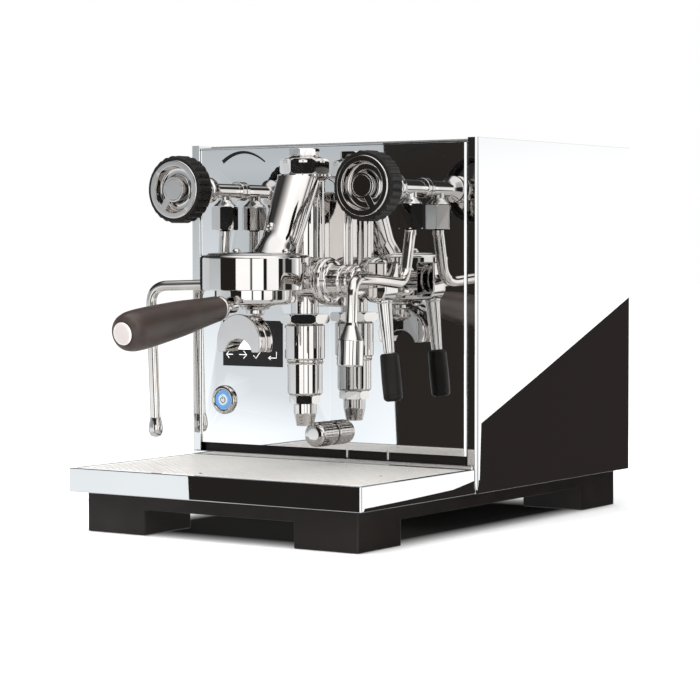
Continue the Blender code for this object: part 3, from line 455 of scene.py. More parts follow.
def front_panel():
    fold = 3.5
    flat_half = 137
    inner = fold - (PANEL_BACK - PANEL_FRONT)
    right = arc((flat_half, PANEL_FRONT + fold), fold, -90, 0, 10)
    right += arc((flat_half, PANEL_FRONT + fold), inner, 0, -90, 8)
    left = [(-143.5, PANEL_BACK), (-143.5, PANEL_FRONT)]
    panel = prism("front_panel_sheet", left + right, PANEL_BOTTOM, PANEL_TOP)
    holes = [
        prism("hole", regular(64, radius), -12, 12, (x, PANEL_FRONT, z), Y)
        for x, z, radius in (
            (-TAP_X, TAP_Z, 6.8),
            (TAP_X, TAP_Z, 6.8),
            (BUTTON_X, BUTTON_Z, 10.9),
            (0, PRESSURE_KNOB_Z, 4.6),
            *((0, height, 8.5) for height in THERMOSYPHON_HEIGHTS),
        )
    ]
    holes.append(box("hole", (-117.3, -5, 135.3), (-50.7, 10, 176.5)))
    cut(panel, *holes)
    placed(finished(panel), "root", "mirror_steel", "front_panel")


def panel_mark(name, points, thick_first, thin_last):
    """A printed curved line, thick at its first end and thin at its last."""
    first, middle, last = [Vector(point) for point in points]
    control = middle * 2 - (first + last) / 2
    steps = 40
    upper, lower = [], []
    for step in range(steps + 1):
        t = step / steps
        spot = curve_point(first, control, last, t)
        slope = (control - first) * 2 * (1 - t) + (last - control) * 2 * t
        out = Vector((-slope.y, slope.x)).normalized()
        width = thick_first + (thin_last - thick_first) * t
        upper.append(spot + out * width / 2)
        lower.append(spot - out * width / 2)
    mark = upright(name, upper + lower[::-1], PANEL_FRONT - 0.06, PANEL_FRONT + 0.4)
    placed(finished(mark), "root", "printed")


def side_panel(name, side):
    """A side sheet with a narrow flange folded round to the front."""
    sheet, fold = 1.5, 2.6
    outer, inner, flange = BODY_HALF_WIDTH, BODY_HALF_WIDTH - sheet, BODY_HALF_WIDTH - FLANGE
    points = [(flange, 0, 0.3)]
    points += [(x, y, 0) for x, y in arc((outer - fold, fold), fold, -90, 0, 14)]
    points += [(outer, BODY_DEPTH, 0.3), (inner, BODY_DEPTH, 0.3), (inner, sheet, 0.6), (flange, sheet, 0.3)]
    outline = rounded(points + [points[0]], 0.3)[:-1]
    panel = prism(name + "_sheet", [(side * x, y) for x, y in outline], BODY_BOTTOM, BODY_TOP)
    placed(finished(panel, 0.3, 2, 50), "root", "mirror_steel", name)


def casing():
    front_panel()
    side_panel("left_side_panel", -1)
    side_panel("right_side_panel", 1)
    panel_mark("left_panel_mark", [(-116.8, 318.6), (-93.5, 327.0), (-69.7, 318)], 3.6, 1.3)
    panel_mark("right_panel_mark", [(75.3, 318.6), (98, 326.6), (118.5, 318)], 3.6, 1.3)
    base = refined("base_block_feet", "base_frame", "black_plastic", 1.1, 4)
    # The feet stay a hair above the floor, because their bevel reaches below its mesh
    sole = 0.06 * MM
    for vert in base.data.vertices:
        vert.co.z = max(vert.co.z, sole)
    for name, cad_node, look, bevel, segments in (
        ("front_rail_bar", "front_rail", "black_plastic", 0.4, 3),
        ("rear_panel_sheet", "rear_panel", "brushed_steel", 0.25, 2),
        ("top_cover_sheet", "top_cover", "mirror_steel", 0.3, 2),
        ("cup_tray_pan", "cup_tray", "brushed_steel", 0.5, 3),
        ("tank_lid_plate", "tank_lid", "brushed_steel", 0.4, 3),
        ("water_tank_shell", "water_tank", "clear_plastic", 0.5, 2),
        ("inlet_housing", "power_inlet", "black_plastic", 0.5, 2),
    ):
        refined(name, cad_node, look, bevel, segments)
    for number, (x, z) in enumerate(((92, 62.5), (86.5, 56.5), (97.5, 56.5))):
        pin = box(f"inlet_pin_{number}", (x - 1, 262.5, z - 2), (x + 1, 273, z + 2))
        placed(finished(pin, 0.4), "root", "brass")
    for number, x in enumerate((18.1, 60.7)):
        tab = box(f"rail_tab_{number}", (x - 0.9, 1.6, 58.2), (x + 0.9, 5.4, 66.4))
        placed(finished(tab, 0.3), "root", "brushed_steel")
    # Dome-headed screws that hold the rear panel
    dome = [(0, 1.9), (1.6, 1.75), (3.1, 0.7), (3.3, -0.4), (0, -0.4)]
    for number, (x, z) in enumerate(((-141, 316), (141, 316), (-141, 52), (141, 52), (-141, 184), (141, 184))):
        spot = (x, BODY_DEPTH - 0.2, z)
        screw = turned(f"rear_screw_{number}", dome, spot, Y)
        finished(cut(screw, prism("socket", regular(6, 1.3), 0.7, 4, spot, Y)))
        screw.scale = (1, 1, 0.3)
        placed(screw, "root", "chrome")


# Drip tray and grate


def drip_grate():
    """A plate with rows of small slots whose edges are turned down."""
    top = 54.35
    low_x, high_x, low_y, high_y = -144.2, 144.2, -167.2, -6.5
    pitch_x, pitch_y = 7.3, 6.4
    columns, rows = 38, 24
    start_x = -columns * pitch_x / 2
    start_y = high_y - rows * pitch_y
    half_slot, corner = (2.8, 1.4), 0.9
    shape = bmesh.new()
    known = {}

    def vert(x, y, z=top):
        key = (round(x, 3), round(y, 3), round(z, 3))
        if key not in known:
            known[key] = shape.verts.new(at(x, y, z))
        return known[key]

    def face(*points):
        shape.faces.new([vert(*point) for point in points])

    def slot_loop(x, y, grow, z):
        sx, sy = half_slot[0] + grow, half_slot[1] + grow
        sides = [(0, -sy), (sx - corner, -sy), (sx, corner - sy), (sx, 0), (sx, sy - corner), (sx - corner, sy)]
        sides += [(-px, -py) for px, py in sides]
        return [(x + px, y + py, z) for px, py in sides]

    def cell(x, y):
        px, py = pitch_x / 2, pitch_y / 2
        low, high = y - py, y + py
        rim = [(x, low), (x + px, low), (x + px, high), (x, high), (x - px, high), (x - px, low)]
        upper = slot_loop(x, y, 0.25, top)
        lower = slot_loop(x, y, 0.0, top - 0.45)
        for index in range(6):
            first = index * 2
            face(rim[index], rim[(index + 1) % 6], upper[(first + 2) % 12], upper[first + 1], upper[first])
        for index in range(12):
            after = (index + 1) % 12
            face(upper[index], upper[after], lower[after], lower[index])

    for row in range(rows):
        y = start_y + (row + 0.5) * pitch_y
        low, high = y - pitch_y / 2, y + pitch_y / 2
        for column in range(columns):
            cell(start_x + (column + 0.5) * pitch_x, y)
        face((low_x, low), (start_x, low), (start_x, high), (low_x, high))
        face((-start_x, low), (high_x, low), (high_x, high), (-start_x, high))
    xs = [low_x] + [start_x + half * pitch_x / 2 for half in range(columns * 2 + 1)] + [high_x]
    for x0, x1 in zip(xs, xs[1:]):
        face((x0, low_y), (x1, low_y), (x1, start_y), (x0, start_y))
    bmesh.ops.recalc_face_normals(shape, faces=shape.faces)
    if sum(f.normal.z * f.calc_area() for f in shape.faces) < 0:
        bmesh.ops.reverse_faces(shape, faces=shape.faces)
    grate = added("drip_grate_plate", mesh_from("drip_grate_plate", shape, False))
    thick = grate.modifiers.new("thickness", "SOLIDIFY")
    thick.thickness = 1.3 * MM
    thick.offset = -1
    placed(finished(grate, sharp=40), "drip_grate", "grate_steel", "drip_grate")


def round_rectangle(half_x, low_y, high_y, radius, steps=6):
    points = arc((half_x - radius, low_y + radius), radius, -90, 0, steps)
    points += arc((half_x - radius, high_y - radius), radius, 0, 90, steps)
    points += arc((-half_x + radius, high_y - radius), radius, 90, 180, steps)
    return points + arc((-half_x + radius, low_y + radius), radius, 180, 270, steps)


def stacked(name, loops):
    """A closed mesh through outlines of equal count, each at its own height, capped at both ends."""
    shape = bmesh.new()
    rows = [[shape.verts.new((x * MM, y * MM, z * MM)) for x, y in outline] for outline, z in loops]
    for first, second in zip(rows, rows[1:]):
        strip(shape, first, second)
    shape.faces.new(rows[0])
    shape.faces.new(rows[-1])
    return link(name, mesh_from(name, shape))


def drip_tray():
    loops = []
    for inset, radius, height in (
        (0, 1.6, 34.15),
        (0, 1.6, TRAY_TOP),
        (5, 1.2, TRAY_TOP),
        (5, 1.2, 52),
        (7, 2.5, 52),
        (7, 2.5, 36.5),
    ):
        loops.append((round_rectangle(150 - inset, TRAY_FRONT + inset, TRAY_REAR - inset, radius), height))
    pan = stacked("drip_tray_pan", loops)
    placed(finished(pan, 0.7, 4), "drip_tray", "mirror_steel", "drip_tray")
    lip = box("drip_tray_lip", (-148, -2.7, 53), (148, -0.9, 57.6))
    placed(finished(lip, 0.5, 3), "drip_tray", "mirror_steel")
    drip_grate()
    for number, (x, y) in enumerate(((-26.7, -148.8), (111.8, -87.2))):
        peg = turned(f"grate_peg_{number}", [(0, 54.5), (1.2, 54.45), (1.5, 54.2), (1.5, 52.9), (0, 52.9)], (x, y, 0))
        placed(finished(peg), "drip_grate", "rubber")


# Brew group


def group():
    profile = [
        (0, 238.3), (30, 237.7, 2), (39.5, 236.9, 2), (41.2, 235.6, 0.8), (44.5, 235.4, 1.5), (46.4, 233.4, 1.6),
        (46.4, 206.2, 0.9), (37, 206.2, 0.6), (37, 226, 0.5), (0, 226),
    ]
    bell = turned("brew_group_casting", profile, (0, BELL_Y, 0), steps=160)
    lean = (NECK_HEAD - NECK_FOOT).normalized()
    length = (NECK_HEAD - NECK_FOOT).length
    profile = [(0, length + 16), (18.7, length + 16), (16.6, 12, 12), (19.5, 1, 4), (21, -8), (0, -8)]
    neck = turned("neck", profile, NECK_FOOT, lean, steps=128)
    below = box("below", (-60, -150, 150), (60, -56, 230))
    above = box("above", (-60, -150, 303.2), (60, 60, 380))
    cut(neck, below, above)
    profile = [
        (0, 304.4), (23.4, 304.4, 0.4), (23.4, 302.4, 0.4), (17.5, 298.8, 2), (17.5, 214, 2), (11.9, 206, 2),
        (11.9, 184.6, 0.4), (0, 184.6),
    ]
    chamber = turned("chamber", profile, CHAMBER)
    bridge = eased(box("bridge", (-16, -66, 212), (16, -40, 234)), 3, 4)
    boss = turned("boss", [(0, 18.7), (17, 18.7, 1.2), (17, 0), (0, 0)], LEVER_SHAFT, X)
    flange = eased(box("flange", (-21, -5, 190), (21, 1.7, 290)), 2, 4)
    web = eased(box("web", (-12, -34, 197), (12, -3, 283)), 1.5, 3)
    tails = [turned("tail", [(0, 14), (8, 14), (8, -8), (0, -8)], (0, 0, z), Y) for z in THERMOSYPHON_HEIGHTS]
    joined(bell, neck, chamber, bridge, boss, flange, web, *tails)
    bore = turned("bore", [(0, 30), (6.4, 30), (6.4, -12), (0, -12)], LEVER_SHAFT, X)
    cut(bell, bore)
    placed(finished(bell), "root", "chrome", "group_body")

    # The plug in the front of the neck
    slope_out = (Vector((0, -lean.z, lean.y)) - X * 0.12).normalized()
    spot = NECK_FOOT + lean * 19.5 + slope_out * 15.6
    screw = turned("neck_plug", [(0, 4.0), (2.4, 3.8), (4.0, 2.7, 1), (4.3, 1.4), (4.3, -2), (0, -2)], spot, slope_out)
    cut(screw, prism("socket", regular(6, 1.6), 2.6, 8, spot, slope_out))
    placed(finished(screw), "root", "chrome")
    for number, (x, y) in enumerate(((-22.5, -104), (24.5, -98))):
        profile = [(0, 3.4), (1.8, 3.1, 1), (3.4, 1.6, 1), (3.7, -1), (0, -1)]
        bolt = turned(f"bell_bolt_{number}", profile, (x, y, 237.6))
        placed(finished(bolt), "root", "chrome")

    collar = nut("group_cap_hexagon", 21.3, 304.6, 317.6, CHAMBER, chamfer=2.2, turn=0.548)
    profile = [(0, 321), (12.2, 321), (12.0, 320.0, 0.6), (17.6, 318.0, 1.5), (18.8, 316.4), (18.8, 314), (0, 314)]
    throat = turned("throat", profile, CHAMBER)
    top = nut("top", 13.4, 320.2, 326.5, CHAMBER, chamfer=1.2, turn=0.855)
    joined(collar, throat, top)
    placed(finished(collar), "root", "chrome", "group_cap_nut")

    lower_nut = nut("infusion_hexagon", 21.4, 176.4, 184.3, CHAMBER, chamfer=2.4, turn=0.548)
    placed(finished(lower_nut), "root", "chrome", "infusion_nut")
    profile = [
        (0, 176.1), (15.5, 176.1), (16.2, 175, 0.4), (17.2, 174.6, 0.5), (17.2, 146.2, 0.6), (15.6, 144.8, 0.4),
        (15.6, 143.6, 0.4), (16.3, 142.9, 0.3), (15.1, 141.5, 0.6), (15.1, 116, 0.9), (13.8, 114.5), (0, 114.5),
    ]
    cylinder = turned("infusion_housing", profile, CHAMBER)
    placed(finished(cylinder), "root", "chrome", "infusion_cylinder")
    nozzle_nut = nut("nozzle_hexagon", 13.4, 107.2, 114.2, CHAMBER, chamfer=1.3, turn=0.548)
    profile = [
        (0, 112), (9, 112), (9.9, 106.5, 0.5), (9.8, 99, 1.5), (7.4, 88, 0.5), (5.2, 88, 0.4), (5.2, 100),
        (0, 100),
    ]
    nozzle = turned("nozzle", profile, CHAMBER)
    joined(nozzle_nut, nozzle)
    placed(finished(nozzle_nut), "root", "chrome", "drain_nozzle")


def lever():
    profile = [
        (0, 58), (11.6, 58, 1), (13.6, 56.3, 0.8), (13.6, 52.2, 0.6), (12.6, 51.2, 0.4), (13.6, 50.2, 0.6),
        (13.6, 46, 0.8), (12.2, 44.6, 0.4), (12.2, 43.4, 0.4), (13.8, 42, 0.6), (13.8, 31, 1.5), (16, 29.2, 1),
        (18.8, 28.6, 0.8), (20.3, 26.6, 1), (20.3, 24.4, 0.4), (19.2, 23.8, 0.3), (20.3, 23.2, 0.4),
        (20.3, 20.7, 1), (18.4, 19), (0, 19),
    ]
    gland = turned("lever_gland_stack", profile, LEVER_SHAFT, X, steps=128)
    bore = turned("bore", [(0, 70), (6.4, 70), (6.4, 10), (0, 10)], LEVER_SHAFT, X, fillet=0)
    cut(gland, bore)
    placed(finished(gland), "root", "chrome", "lever_gland")

    inner, outer, low, high, half_depth = 71.7, 90, 198, 229, 9.7
    outline = [(inner, high), (outer, high), (outer, 204.5), (86.5, low), (inner, low)]
    hub = eased(upright("lever_hub_block", outline, CHAMBER_Y - half_depth, CHAMBER_Y + half_depth), 1.3, 4)
    profile = [(0, 74), (8.7, 74), (8.7, 59, 0.6), (6, 58.4, 0.2), (6, -8), (0, -8)]
    shaft = turned("shaft", profile, LEVER_SHAFT, X)
    joined(hub, shaft)
    placed(finished(hub), "brew_lever", "chrome", "brew_lever_hub")

    tilt = math.radians(6.2)
    down = Vector((math.sin(tilt), 0, -math.cos(tilt)))
    start = Vector((82, CHAMBER_Y, 196.9))
    profile = [(0, 0.0), (7.0, 0.0, 0.5), (7.0, 1.6, 0.5), (6.2, 2.6, 0.5), (4.6, 44.5, 0.3), (0, 44.5)]
    rod = turned("lever_taper", profile, start, down, steps=72)
    placed(finished(rod), "brew_lever", "chrome", "brew_lever_rod")
    profile = [
        (0, 40.5), (5.6, 40.5, 1.5), (8.1, 38.4, 2), (8.3, 35.4, 0.3), (8.0, 35.0, 0.2), (8.3, 34.6, 0.4),
        (8.5, 22, 4), (8.0, 1.6, 1), (6.6, 0, 0.5), (0, 0),
    ]
    grip = turned("lever_handle", profile, start + down * 44.8, down, steps=72)
    placed(finished(grip), "brew_lever", "knob_plastic", "brew_lever_grip")


# Portafilter


def portafilter():
    slope = math.radians(7.9)
    forward = Vector((0, -math.cos(slope), -math.sin(slope)))
    start = Vector((0, -158.7, 191.9))
    length = 123.5
    profile = [
        (34.2, 215.4, 0.3), (34.2, 198.6, 0.8), (33.2, 195.4, 1.2), (29, 194, 1.5), (13, 192.6, 1.5),
        (11, 190, 0.8), (4, 190, 0.3), (4, 197, 0.3), (31, 198, 0.8), (31, 215.4, 0.3),
    ]
    bowl = turned("portafilter_bowl", profile, (0, BELL_Y, 0), steps=128, ring=True)
    bowl_side = -139.5
    reach = (bowl_side - start.y) / math.cos(slope)
    profile = [
        (0, 0.3), (8.9, 0.3, 0.8), (9.6, 1.6, 0.8), (9.6, 3.4, 0.8), (7.4, 5.2, 2), (6.4, 11, 4), (7.2, reach, 1),
        (0, reach),
    ]
    arm = turned("arm", profile, start, -forward, steps=80)
    joined(bowl, arm)
    placed(finished(bowl), "portafilter", "chrome", "portafilter_body")
    profile = [
        (0, length), (9.4, length, 0.8), (10.4, length - 0.5, 0.8), (14.2, length - 3.4, 3),
        (16.0, length - 10, 4), (16.4, length - 20, 6), (15.9, length - 42, 10), (14.4, length - 74, 10),
        (12.0, 24, 8), (10.9, 9, 5), (10.5, 2.2, 1.5), (9.2, 0, 0.8), (0, 0),
    ]
    handle = turned("portafilter_grip", profile, start, forward)
    placed(finished(handle), "portafilter", "handle", "portafilter_handle")
    profile = [(0, 1.5), (6.5, 1.35, 2), (8.3, 0.9, 0.8), (9, 0.3, 0.3), (9, 0), (0, 0)]
    cap = turned("handle_cap_disc", profile, start + forward * (length + 0.3), forward, fillet=0.2)
    placed(finished(cap), "portafilter", "satin_metal", "handle_end_cap")
    spout()


def spout():
    """An arch with two open ends below it and a channel along its top, turned a little about the bell."""
    front, back, wall = -130, -113, 2.4
    outer_z, outer, tip_z = 163, 23.5, 155
    inner_z, inner = 151, 15
    outer_drop = math.degrees(math.asin((outer_z - tip_z) / outer))
    inner_rise = math.degrees(math.asin((tip_z - inner_z) / inner))
    outline = arc((0, outer_z), outer, -outer_drop, 180 + outer_drop, 72)
    outline += arc((0, inner_z), inner, 180 - inner_rise, inner_rise, 56)
    arch = eased(upright("double_spout_arch", outline, front, back), 1.3, 4, 40)
    channel = arc((0, outer_z), 31, -60, 240, 72) + arc((0, outer_z), 18.7, 240, -60, 72)
    cut(arch, eased(upright("trough", channel, front + wall, back - wall), 1.6, 4, 40))
    profile = [
        (0, 189.7), (7.5, 189.7, 0.5), (7.5, 186.2, 0.5), (6.3, 185.4, 0.4), (6.3, 180, 1), (7.2, 178, 2),
        (0, 174),
    ]
    hub = turned("hub", profile, (0, BELL_Y, 0))
    bridge = eased(box("bridge", (-6.2, -121, 176), (6.2, BELL_Y + 2, 185)), 2.5, 5)
    middle = at(0, BELL_Y, 0)
    turn = Matrix.Translation(middle) @ Matrix.Rotation(math.radians(-4), 4, "Z") @ Matrix.Translation(-middle)
    arch.data.transform(arch.matrix_world)
    arch.matrix_world = turn
    joined(arch, hub, bridge)
    placed(finished(arch), "portafilter", "chrome", "double_spout")


# Taps, knobs and wands


def tap(name, side):
    x = side * TAP_X
    profile = [
        (0, 74), (5.6, 74), (5.6, 65, 0.4), (9.0, 64, 0.8), (11.2, 61, 0.8), (11.6, 58.6, 0.4), (10.6, 57.8, 0.3),
        (11.6, 57, 0.4), (11.6, 52.6, 0.8), (9.8, 51, 0.8), (9.8, 49.4, 0.6), (11.2, 47.6, 0.8), (11.6, 43, 0.8),
        (8.6, 39, 1.5), (6.4, 36, 2), (6.4, 12, 0.2), (6.4, -14), (0, -14),
    ]
    body = turned(f"{name}_tap_body", profile, (x, 0, TAP_Z), -Y)
    collar = turned("collar", [(0, 3.2), (8.6, 3.2, 0.6), (8.6, -1.6, 0.3), (0, -1.6)], (x, 0, TAP_Z), -Y)
    profile = [(0, 2), (5.6, 2), (5.6, -8.6, 1), (6.6, -10, 0.8), (9.4, -12.4, 1.2), (10.4, -13.6), (0, -13.6)]
    branch = turned("branch", profile, (x, BRANCH_Y, TAP_Z))
    joined(body, collar, branch)
    placed(finished(body), "root", "chrome", f"{name}_valve_body")
    turn = 0.05 if side > 0 else 0.80
    hexagon = nut(f"{name}_wand_hexagon", 11.9, 257.2, 278, (x, BRANCH_Y, 0), chamfer=1.4, turn=turn)
    room = turned("room", [(0, 273.5), (8.4, 273.5), (8.4, 262), (6.4, 254), (0, 254)], (x, BRANCH_Y, 0), fillet=0)
    cut(hexagon, room)
    placed(finished(hexagon), "root", "chrome", f"{name}_wand_nut")


def knob(name, side, spoke_deg):
    """A scalloped rim round a chrome face with a ring-shaped dish and one spoke across it."""
    x = side * TAP_X
    centre, front = (x, TAP_Z), (x, KNOB_FRONT, TAP_Z)
    depth, radius, scallop, lobes, steps_per_lobe = 17, 29.2, 1.6, 26, 14
    outline = wavy(lobes * steps_per_lobe, lambda a: radius - scallop * (1 - abs(math.cos(lobes * a / 2))))
    grip = upright(f"{name}_knob_rim", outline, KNOB_FRONT, KNOB_FRONT + depth, centre)
    hole = turned("hole", [(0, 40), (25.6, 40), (25.6, -40), (0, -40)], front, Y, fillet=0)
    edges = (
        [(27.2, 0.6), (34, 0.6), (34, -4.5), (29.2, -2.2, 1)],
        [(27.6, -depth - 0.6), (29.4, -depth + 1.6), (34, -depth + 4), (34, -depth - 0.6)],
    )
    chamfers = [turned("chamfer", profile, front, -Y, fillet=0, ring=True) for profile in edges]
    cut(grip, hole, *chamfers)
    placed(finished(grip, sharp=35), f"{name}_knob", "knob_plastic", f"{name}_knob_grip")
    profile = [
        (0, 1.0), (8.8, 1.0, 0.2), (9.05, 0.5, 0.1), (9.3, 1.0, 0.2), (11.0, 1.0, 0.5), (11.6, -2.5, 1),
        (12.4, -6.2, 1.8), (18.6, -6.2, 1.8), (19.6, -2.5, 1), (20.1, 1.0, 0.5), (24.6, 1.0, 0.8),
        (25.3, 0.2, 0.6), (25.3, -12, 0.4), (9, -15.5, 1), (9, -17, 0.2), (0, -17),
    ]
    face = turned(f"{name}_knob_dish", profile, front, -Y, steps=128)
    spin = Matrix.Rotation(math.radians(spoke_deg), 2)
    corners = [spin @ Vector(point) for point in ((10, -3.1), (21.2, -3.1), (21.2, 3.1), (10, 3.1))]
    joined(face, eased(upright("bar", corners, KNOB_FRONT - 0.97, KNOB_FRONT + 8, centre), 0.35, 3))
    socket = turned("socket", [(0, 15), (5.9, 15), (5.9, -5), (0, -5)], (x, KNOB_FRONT + depth, TAP_Z), -Y, fillet=0)
    cut(face, socket)
    placed(finished(face), f"{name}_knob", "chrome", f"{name}_knob_face")


def wand(name, corners, radius, stem):
    """The wand's pipe with its ball, made in one."""
    sphere = [(6.6 * math.sin(math.radians(a)), 6.6 * math.cos(math.radians(a))) for a in range(10, 141, 10)]
    profile = [(0, 6.6), *sphere, (4.9, -8), (4.9, -12), (0, -12)]
    ball = turned(f"{name}_wand_pipe", profile, (*stem, BALL_Z), fillet=0.1, steps=48)
    joined(ball, swept("pipe", route(corners, radius), 4.75))
    placed(finished(ball), f"{name}_wand", "steel_pipe", f"{name}_wand")


def steam_wand():
    foot = Vector((-168.5, -31, 71))
    shoulder = Vector((-173, -32, 207))
    down = (foot - shoulder).normalized()
    end = foot - down * 17
    corners = [(-TAP_X, BRANCH_Y, 256), (-TAP_X - 2, BRANCH_Y - 1, 209), shoulder, end]
    wand("steam", corners, 17, (-TAP_X, BRANCH_Y))
    profile = [
        (0, 0.6), (5.0, 0.5, 0.3), (5.6, -2.2, 0.8), (6.6, -7.5, 2), (6.6, -12.5, 2), (4.6, -16.4, 1.5),
        (2.2, -17.3, 0.8), (0, -17.4),
    ]
    tip = turned("steam_tip", profile, end + down * 0.3, -down, steps=64)
    for hole in range(4):
        angle = math.tau * (hole + 0.5) / 4
        out = Vector((math.cos(angle), math.sin(angle), -1.2)).normalized()
        spot = end + down * 14.5 + out * 3.4
        cut(tip, prism("jet", regular(16, 0.7), -2.5, 4, spot, out))
    placed(finished(tip), "steam_wand", "chrome", "steam_wand_tip")


def water_wand():
    foot = Vector((112.5, -133, 146.5))
    shoulder = Vector((111, -127, 216))
    down = (foot - shoulder).normalized()
    end = foot - down * 34.6
    corners = [(TAP_X, BRANCH_Y, 256), (TAP_X, -30, 211), (TAP_X + 5, -80, 215), shoulder, end]
    wand("water", corners, 15, (TAP_X, BRANCH_Y))
    profile = [
        (0, 0.6), (5.1, 0.6, 0.3), (5.7, -2.4, 0.8), (10.2, -13.2, 0.8), (10.6, -14, 0.5), (10.6, -33.8, 0.6),
        (9.9, -34.6, 0.2), (8.6, -34.6, 0.3), (8.2, -34, 0.3), (8.2, -24, 0.5), (0, -24),
    ]
    nozzle = turned("water_outlet", profile, end + down * 0.3, -down)
    placed(finished(nozzle), "water_wand", "chrome", "water_wand_nozzle")


# Controls


def stroke(points, radius=0.42):
    """One raised line of a mark on the display, through (x, z) points."""
    path = [Vector((x, DISPLAY_FRONT + 0.15, z)) for x, z in points]
    return swept("stroke", path, radius, 12)


def marks(name, body, look, strokes):
    first, *others = strokes
    if others:
        joined(first, *others)
    first.name = name
    placed(finished(first), body, look)


def key(name, *lines):
    marks(f"display_{name}_key", "root", "lit_mark", [stroke(line) for line in lines])


def display():
    glass = box("display_cover", (-117, DISPLAY_FRONT, 135.6), (-51, 9.5, 176.2))
    placed(finished(glass, 0.5, 3), "root", "black_glass", "display_glass")
    window = box("display_window", (-101.5, DISPLAY_FRONT - 0.12, 150.3), (-67, DISPLAY_FRONT + 0.5, 169.5))
    placed(finished(window, 0.1, 2), "root", "lit_window")
    low, mid, high = 142.3, 145.6, 148.9
    key("left", [(-109.6, high), (-112.9, mid), (-109.6, low)], [(-112.6, mid), (-105.4, mid)])
    key("right", [(-93.6, high), (-90.2, mid), (-93.6, low)], [(-98.4, mid), (-90.6, mid)])
    key("tick", [(-82.6, mid - 0.4), (-79.9, low + 0.3), (-74.6, high)])
    foot = low + 1
    arrow = [(-63.4, foot + 1.6), (-66.2, foot), (-63.4, foot - 1.6)]
    key("return", [(-57.2, high), (-57.2, foot), (-65.8, foot)], arrow)


def power_button():
    place = (BUTTON_X, PANEL_FRONT, BUTTON_Z)
    profile = [
        (9.6, 3.2, 0.3), (10.4, 3.8, 0.4), (12.2, 3.1, 0.6), (13, 1.8, 0.5), (13, 0.3, 0.2), (10.6, 0.3, 0.2),
        (10.6, -14, 0.2), (9.6, -14, 0.2),
    ]
    bezel = turned("button_bezel", profile, place, -Y, ring=True)
    placed(finished(bezel), "root", "chrome", "power_button_bezel")
    profile = [(0, 3.0), (4.9, 3.0, 0.2), (5.2, 2.5, 0.1), (8.7, 2.5, 0.3), (9.2, 1.9, 0.2), (9.2, -10), (0, -10)]
    cap = turned("button_cap", profile, place, -Y)
    placed(finished(cap), "power_button", "pale_light", "power_button_cap")
    profile = [(5.4, 2.75, 0.1), (8.5, 2.75, 0.15), (8.5, 2.35, 0.05), (5.4, 2.35, 0.05)]
    ring = turned("button_light", profile, place, -Y, ring=True)
    placed(finished(ring), "power_button", "blue_light")
    y = PANEL_FRONT - 3.05
    circle = [Vector((BUTTON_X + px, y, BUTTON_Z + pz)) for px, pz in arc((0, 0), 2.5, 125, 415, 36)]
    stem = [Vector((BUTTON_X, y, BUTTON_Z + 0.6)), Vector((BUTTON_X, y, BUTTON_Z + 3.3))]
    marks("button_mark", "power_button", "printed", [swept("mark", circle, 0.32, 10), swept("mark", stem, 0.32, 10)])


def pressure_knob():
    teeth, steps_per_tooth = 36, 6
    ribbed = wavy(teeth * steps_per_tooth, lambda a: 10.55 + 0.4 * math.cos(teeth * a))
    back = 2
    profile = [
        (0, 26), (6, 25.9, 1), (9.4, 25.2, 1), (10.6, 22.8, 0.8), (10.6, 1.4, 0.5), (9.6, 0.9, 0.2), (4, 0.9, 0.2),
        (4, -10), (0, -10),
    ]
    shaft = turned("pressure_dial", profile, (0, back, PRESSURE_KNOB_Z), -Y)
    bands = [
        eased(upright("band", ribbed, back - high, back - low, (0, PRESSURE_KNOB_Z)), 0.3, 2, 50)
        for low, high in ((3.2, 9.3), (10.3, 15.2), (16.2, 21.2))
    ]
    joined(shaft, *bands)
    placed(finished(shaft), "pressure_knob", "chrome", "pressure_knob")


# Carried over from the CAD


def carried_over():
    """Inner pieces keep their CAD shape and take a detailed material."""
    record = frame["record"]
    slots = {row["node"]: row["material_slot"] for row in record["subparts"]}
    for name, obj in frame["nodes"].items():
        if not obj.hide_render:
            obj.data.materials.clear()
            obj.data.materials.append(LOOKS[slots[name]])


# Studio


def card(name, corners, colour):
    """A flat studio card that shows in reflections only."""
    shape = bmesh.new()
    shape.faces.new([shape.verts.new(at(*corner)) for corner in corners])
    obj = added(name, mesh_from(name, shape))
    made = bpy.data.materials.new(name)
    made.use_nodes = True
    tree = made.node_tree
    tree.nodes.clear()
    glow = node(tree, "ShaderNodeEmission", {0: (*colour, 1)})
    node(tree, "ShaderNodeOutputMaterial", {0: glow.outputs[0]})
    obj.data.materials.append(made)
    for ray in ("camera", "diffuse", "shadow", "transmission"):
        setattr(obj, f"visible_{ray}", False)


DARK_CARD = (0.028, 0.0245, 0.0225)
# The studio round the machine near the horizon: (bearing from the front towards the right in degrees,
# brightness, coolness)
AROUND = [
    (-180, 1.37, 0.2), (-138, 1.37, 0.2), (-136, 0.03, 0), (-108, 0.03, 0), (-106, 1.05, 0.5),
    (-42, 1.05, 0.5), (-5, 1.14, 0.3), (-4, 1.82, 0.1), (25.2, 1.82, 0.1), (25.6, 0.02, 0), (29.4, 0.02, 0),
    (29.8, 1.88, 0.05), (52.5, 1.88, 0.05), (53, 0.02, 0), (60, 0.02, 0), (60.5, 1.71, 0.1), (85, 1.71, 0.1),
    (85.5, 0.02, 0), (94.5, 0.02, 0), (95, 0.63, 0), (100, 0.63, 0), (100.5, 0.03, 0), (117, 0.03, 0),
    (118, 0.68, 0), (126, 0.91, 0), (134, 1.82, 0.1), (180, 1.6, 0.1),
]
MIDDLE = [
    (-180, 1.0, 0), (-150, 0.06, 0), (44, 0.06, 0), (56, 1.7, 0), (95, 1.7, 0), (112, 0.1, 0), (150, 0.3, 0),
    (180, 1.0, 0),
]
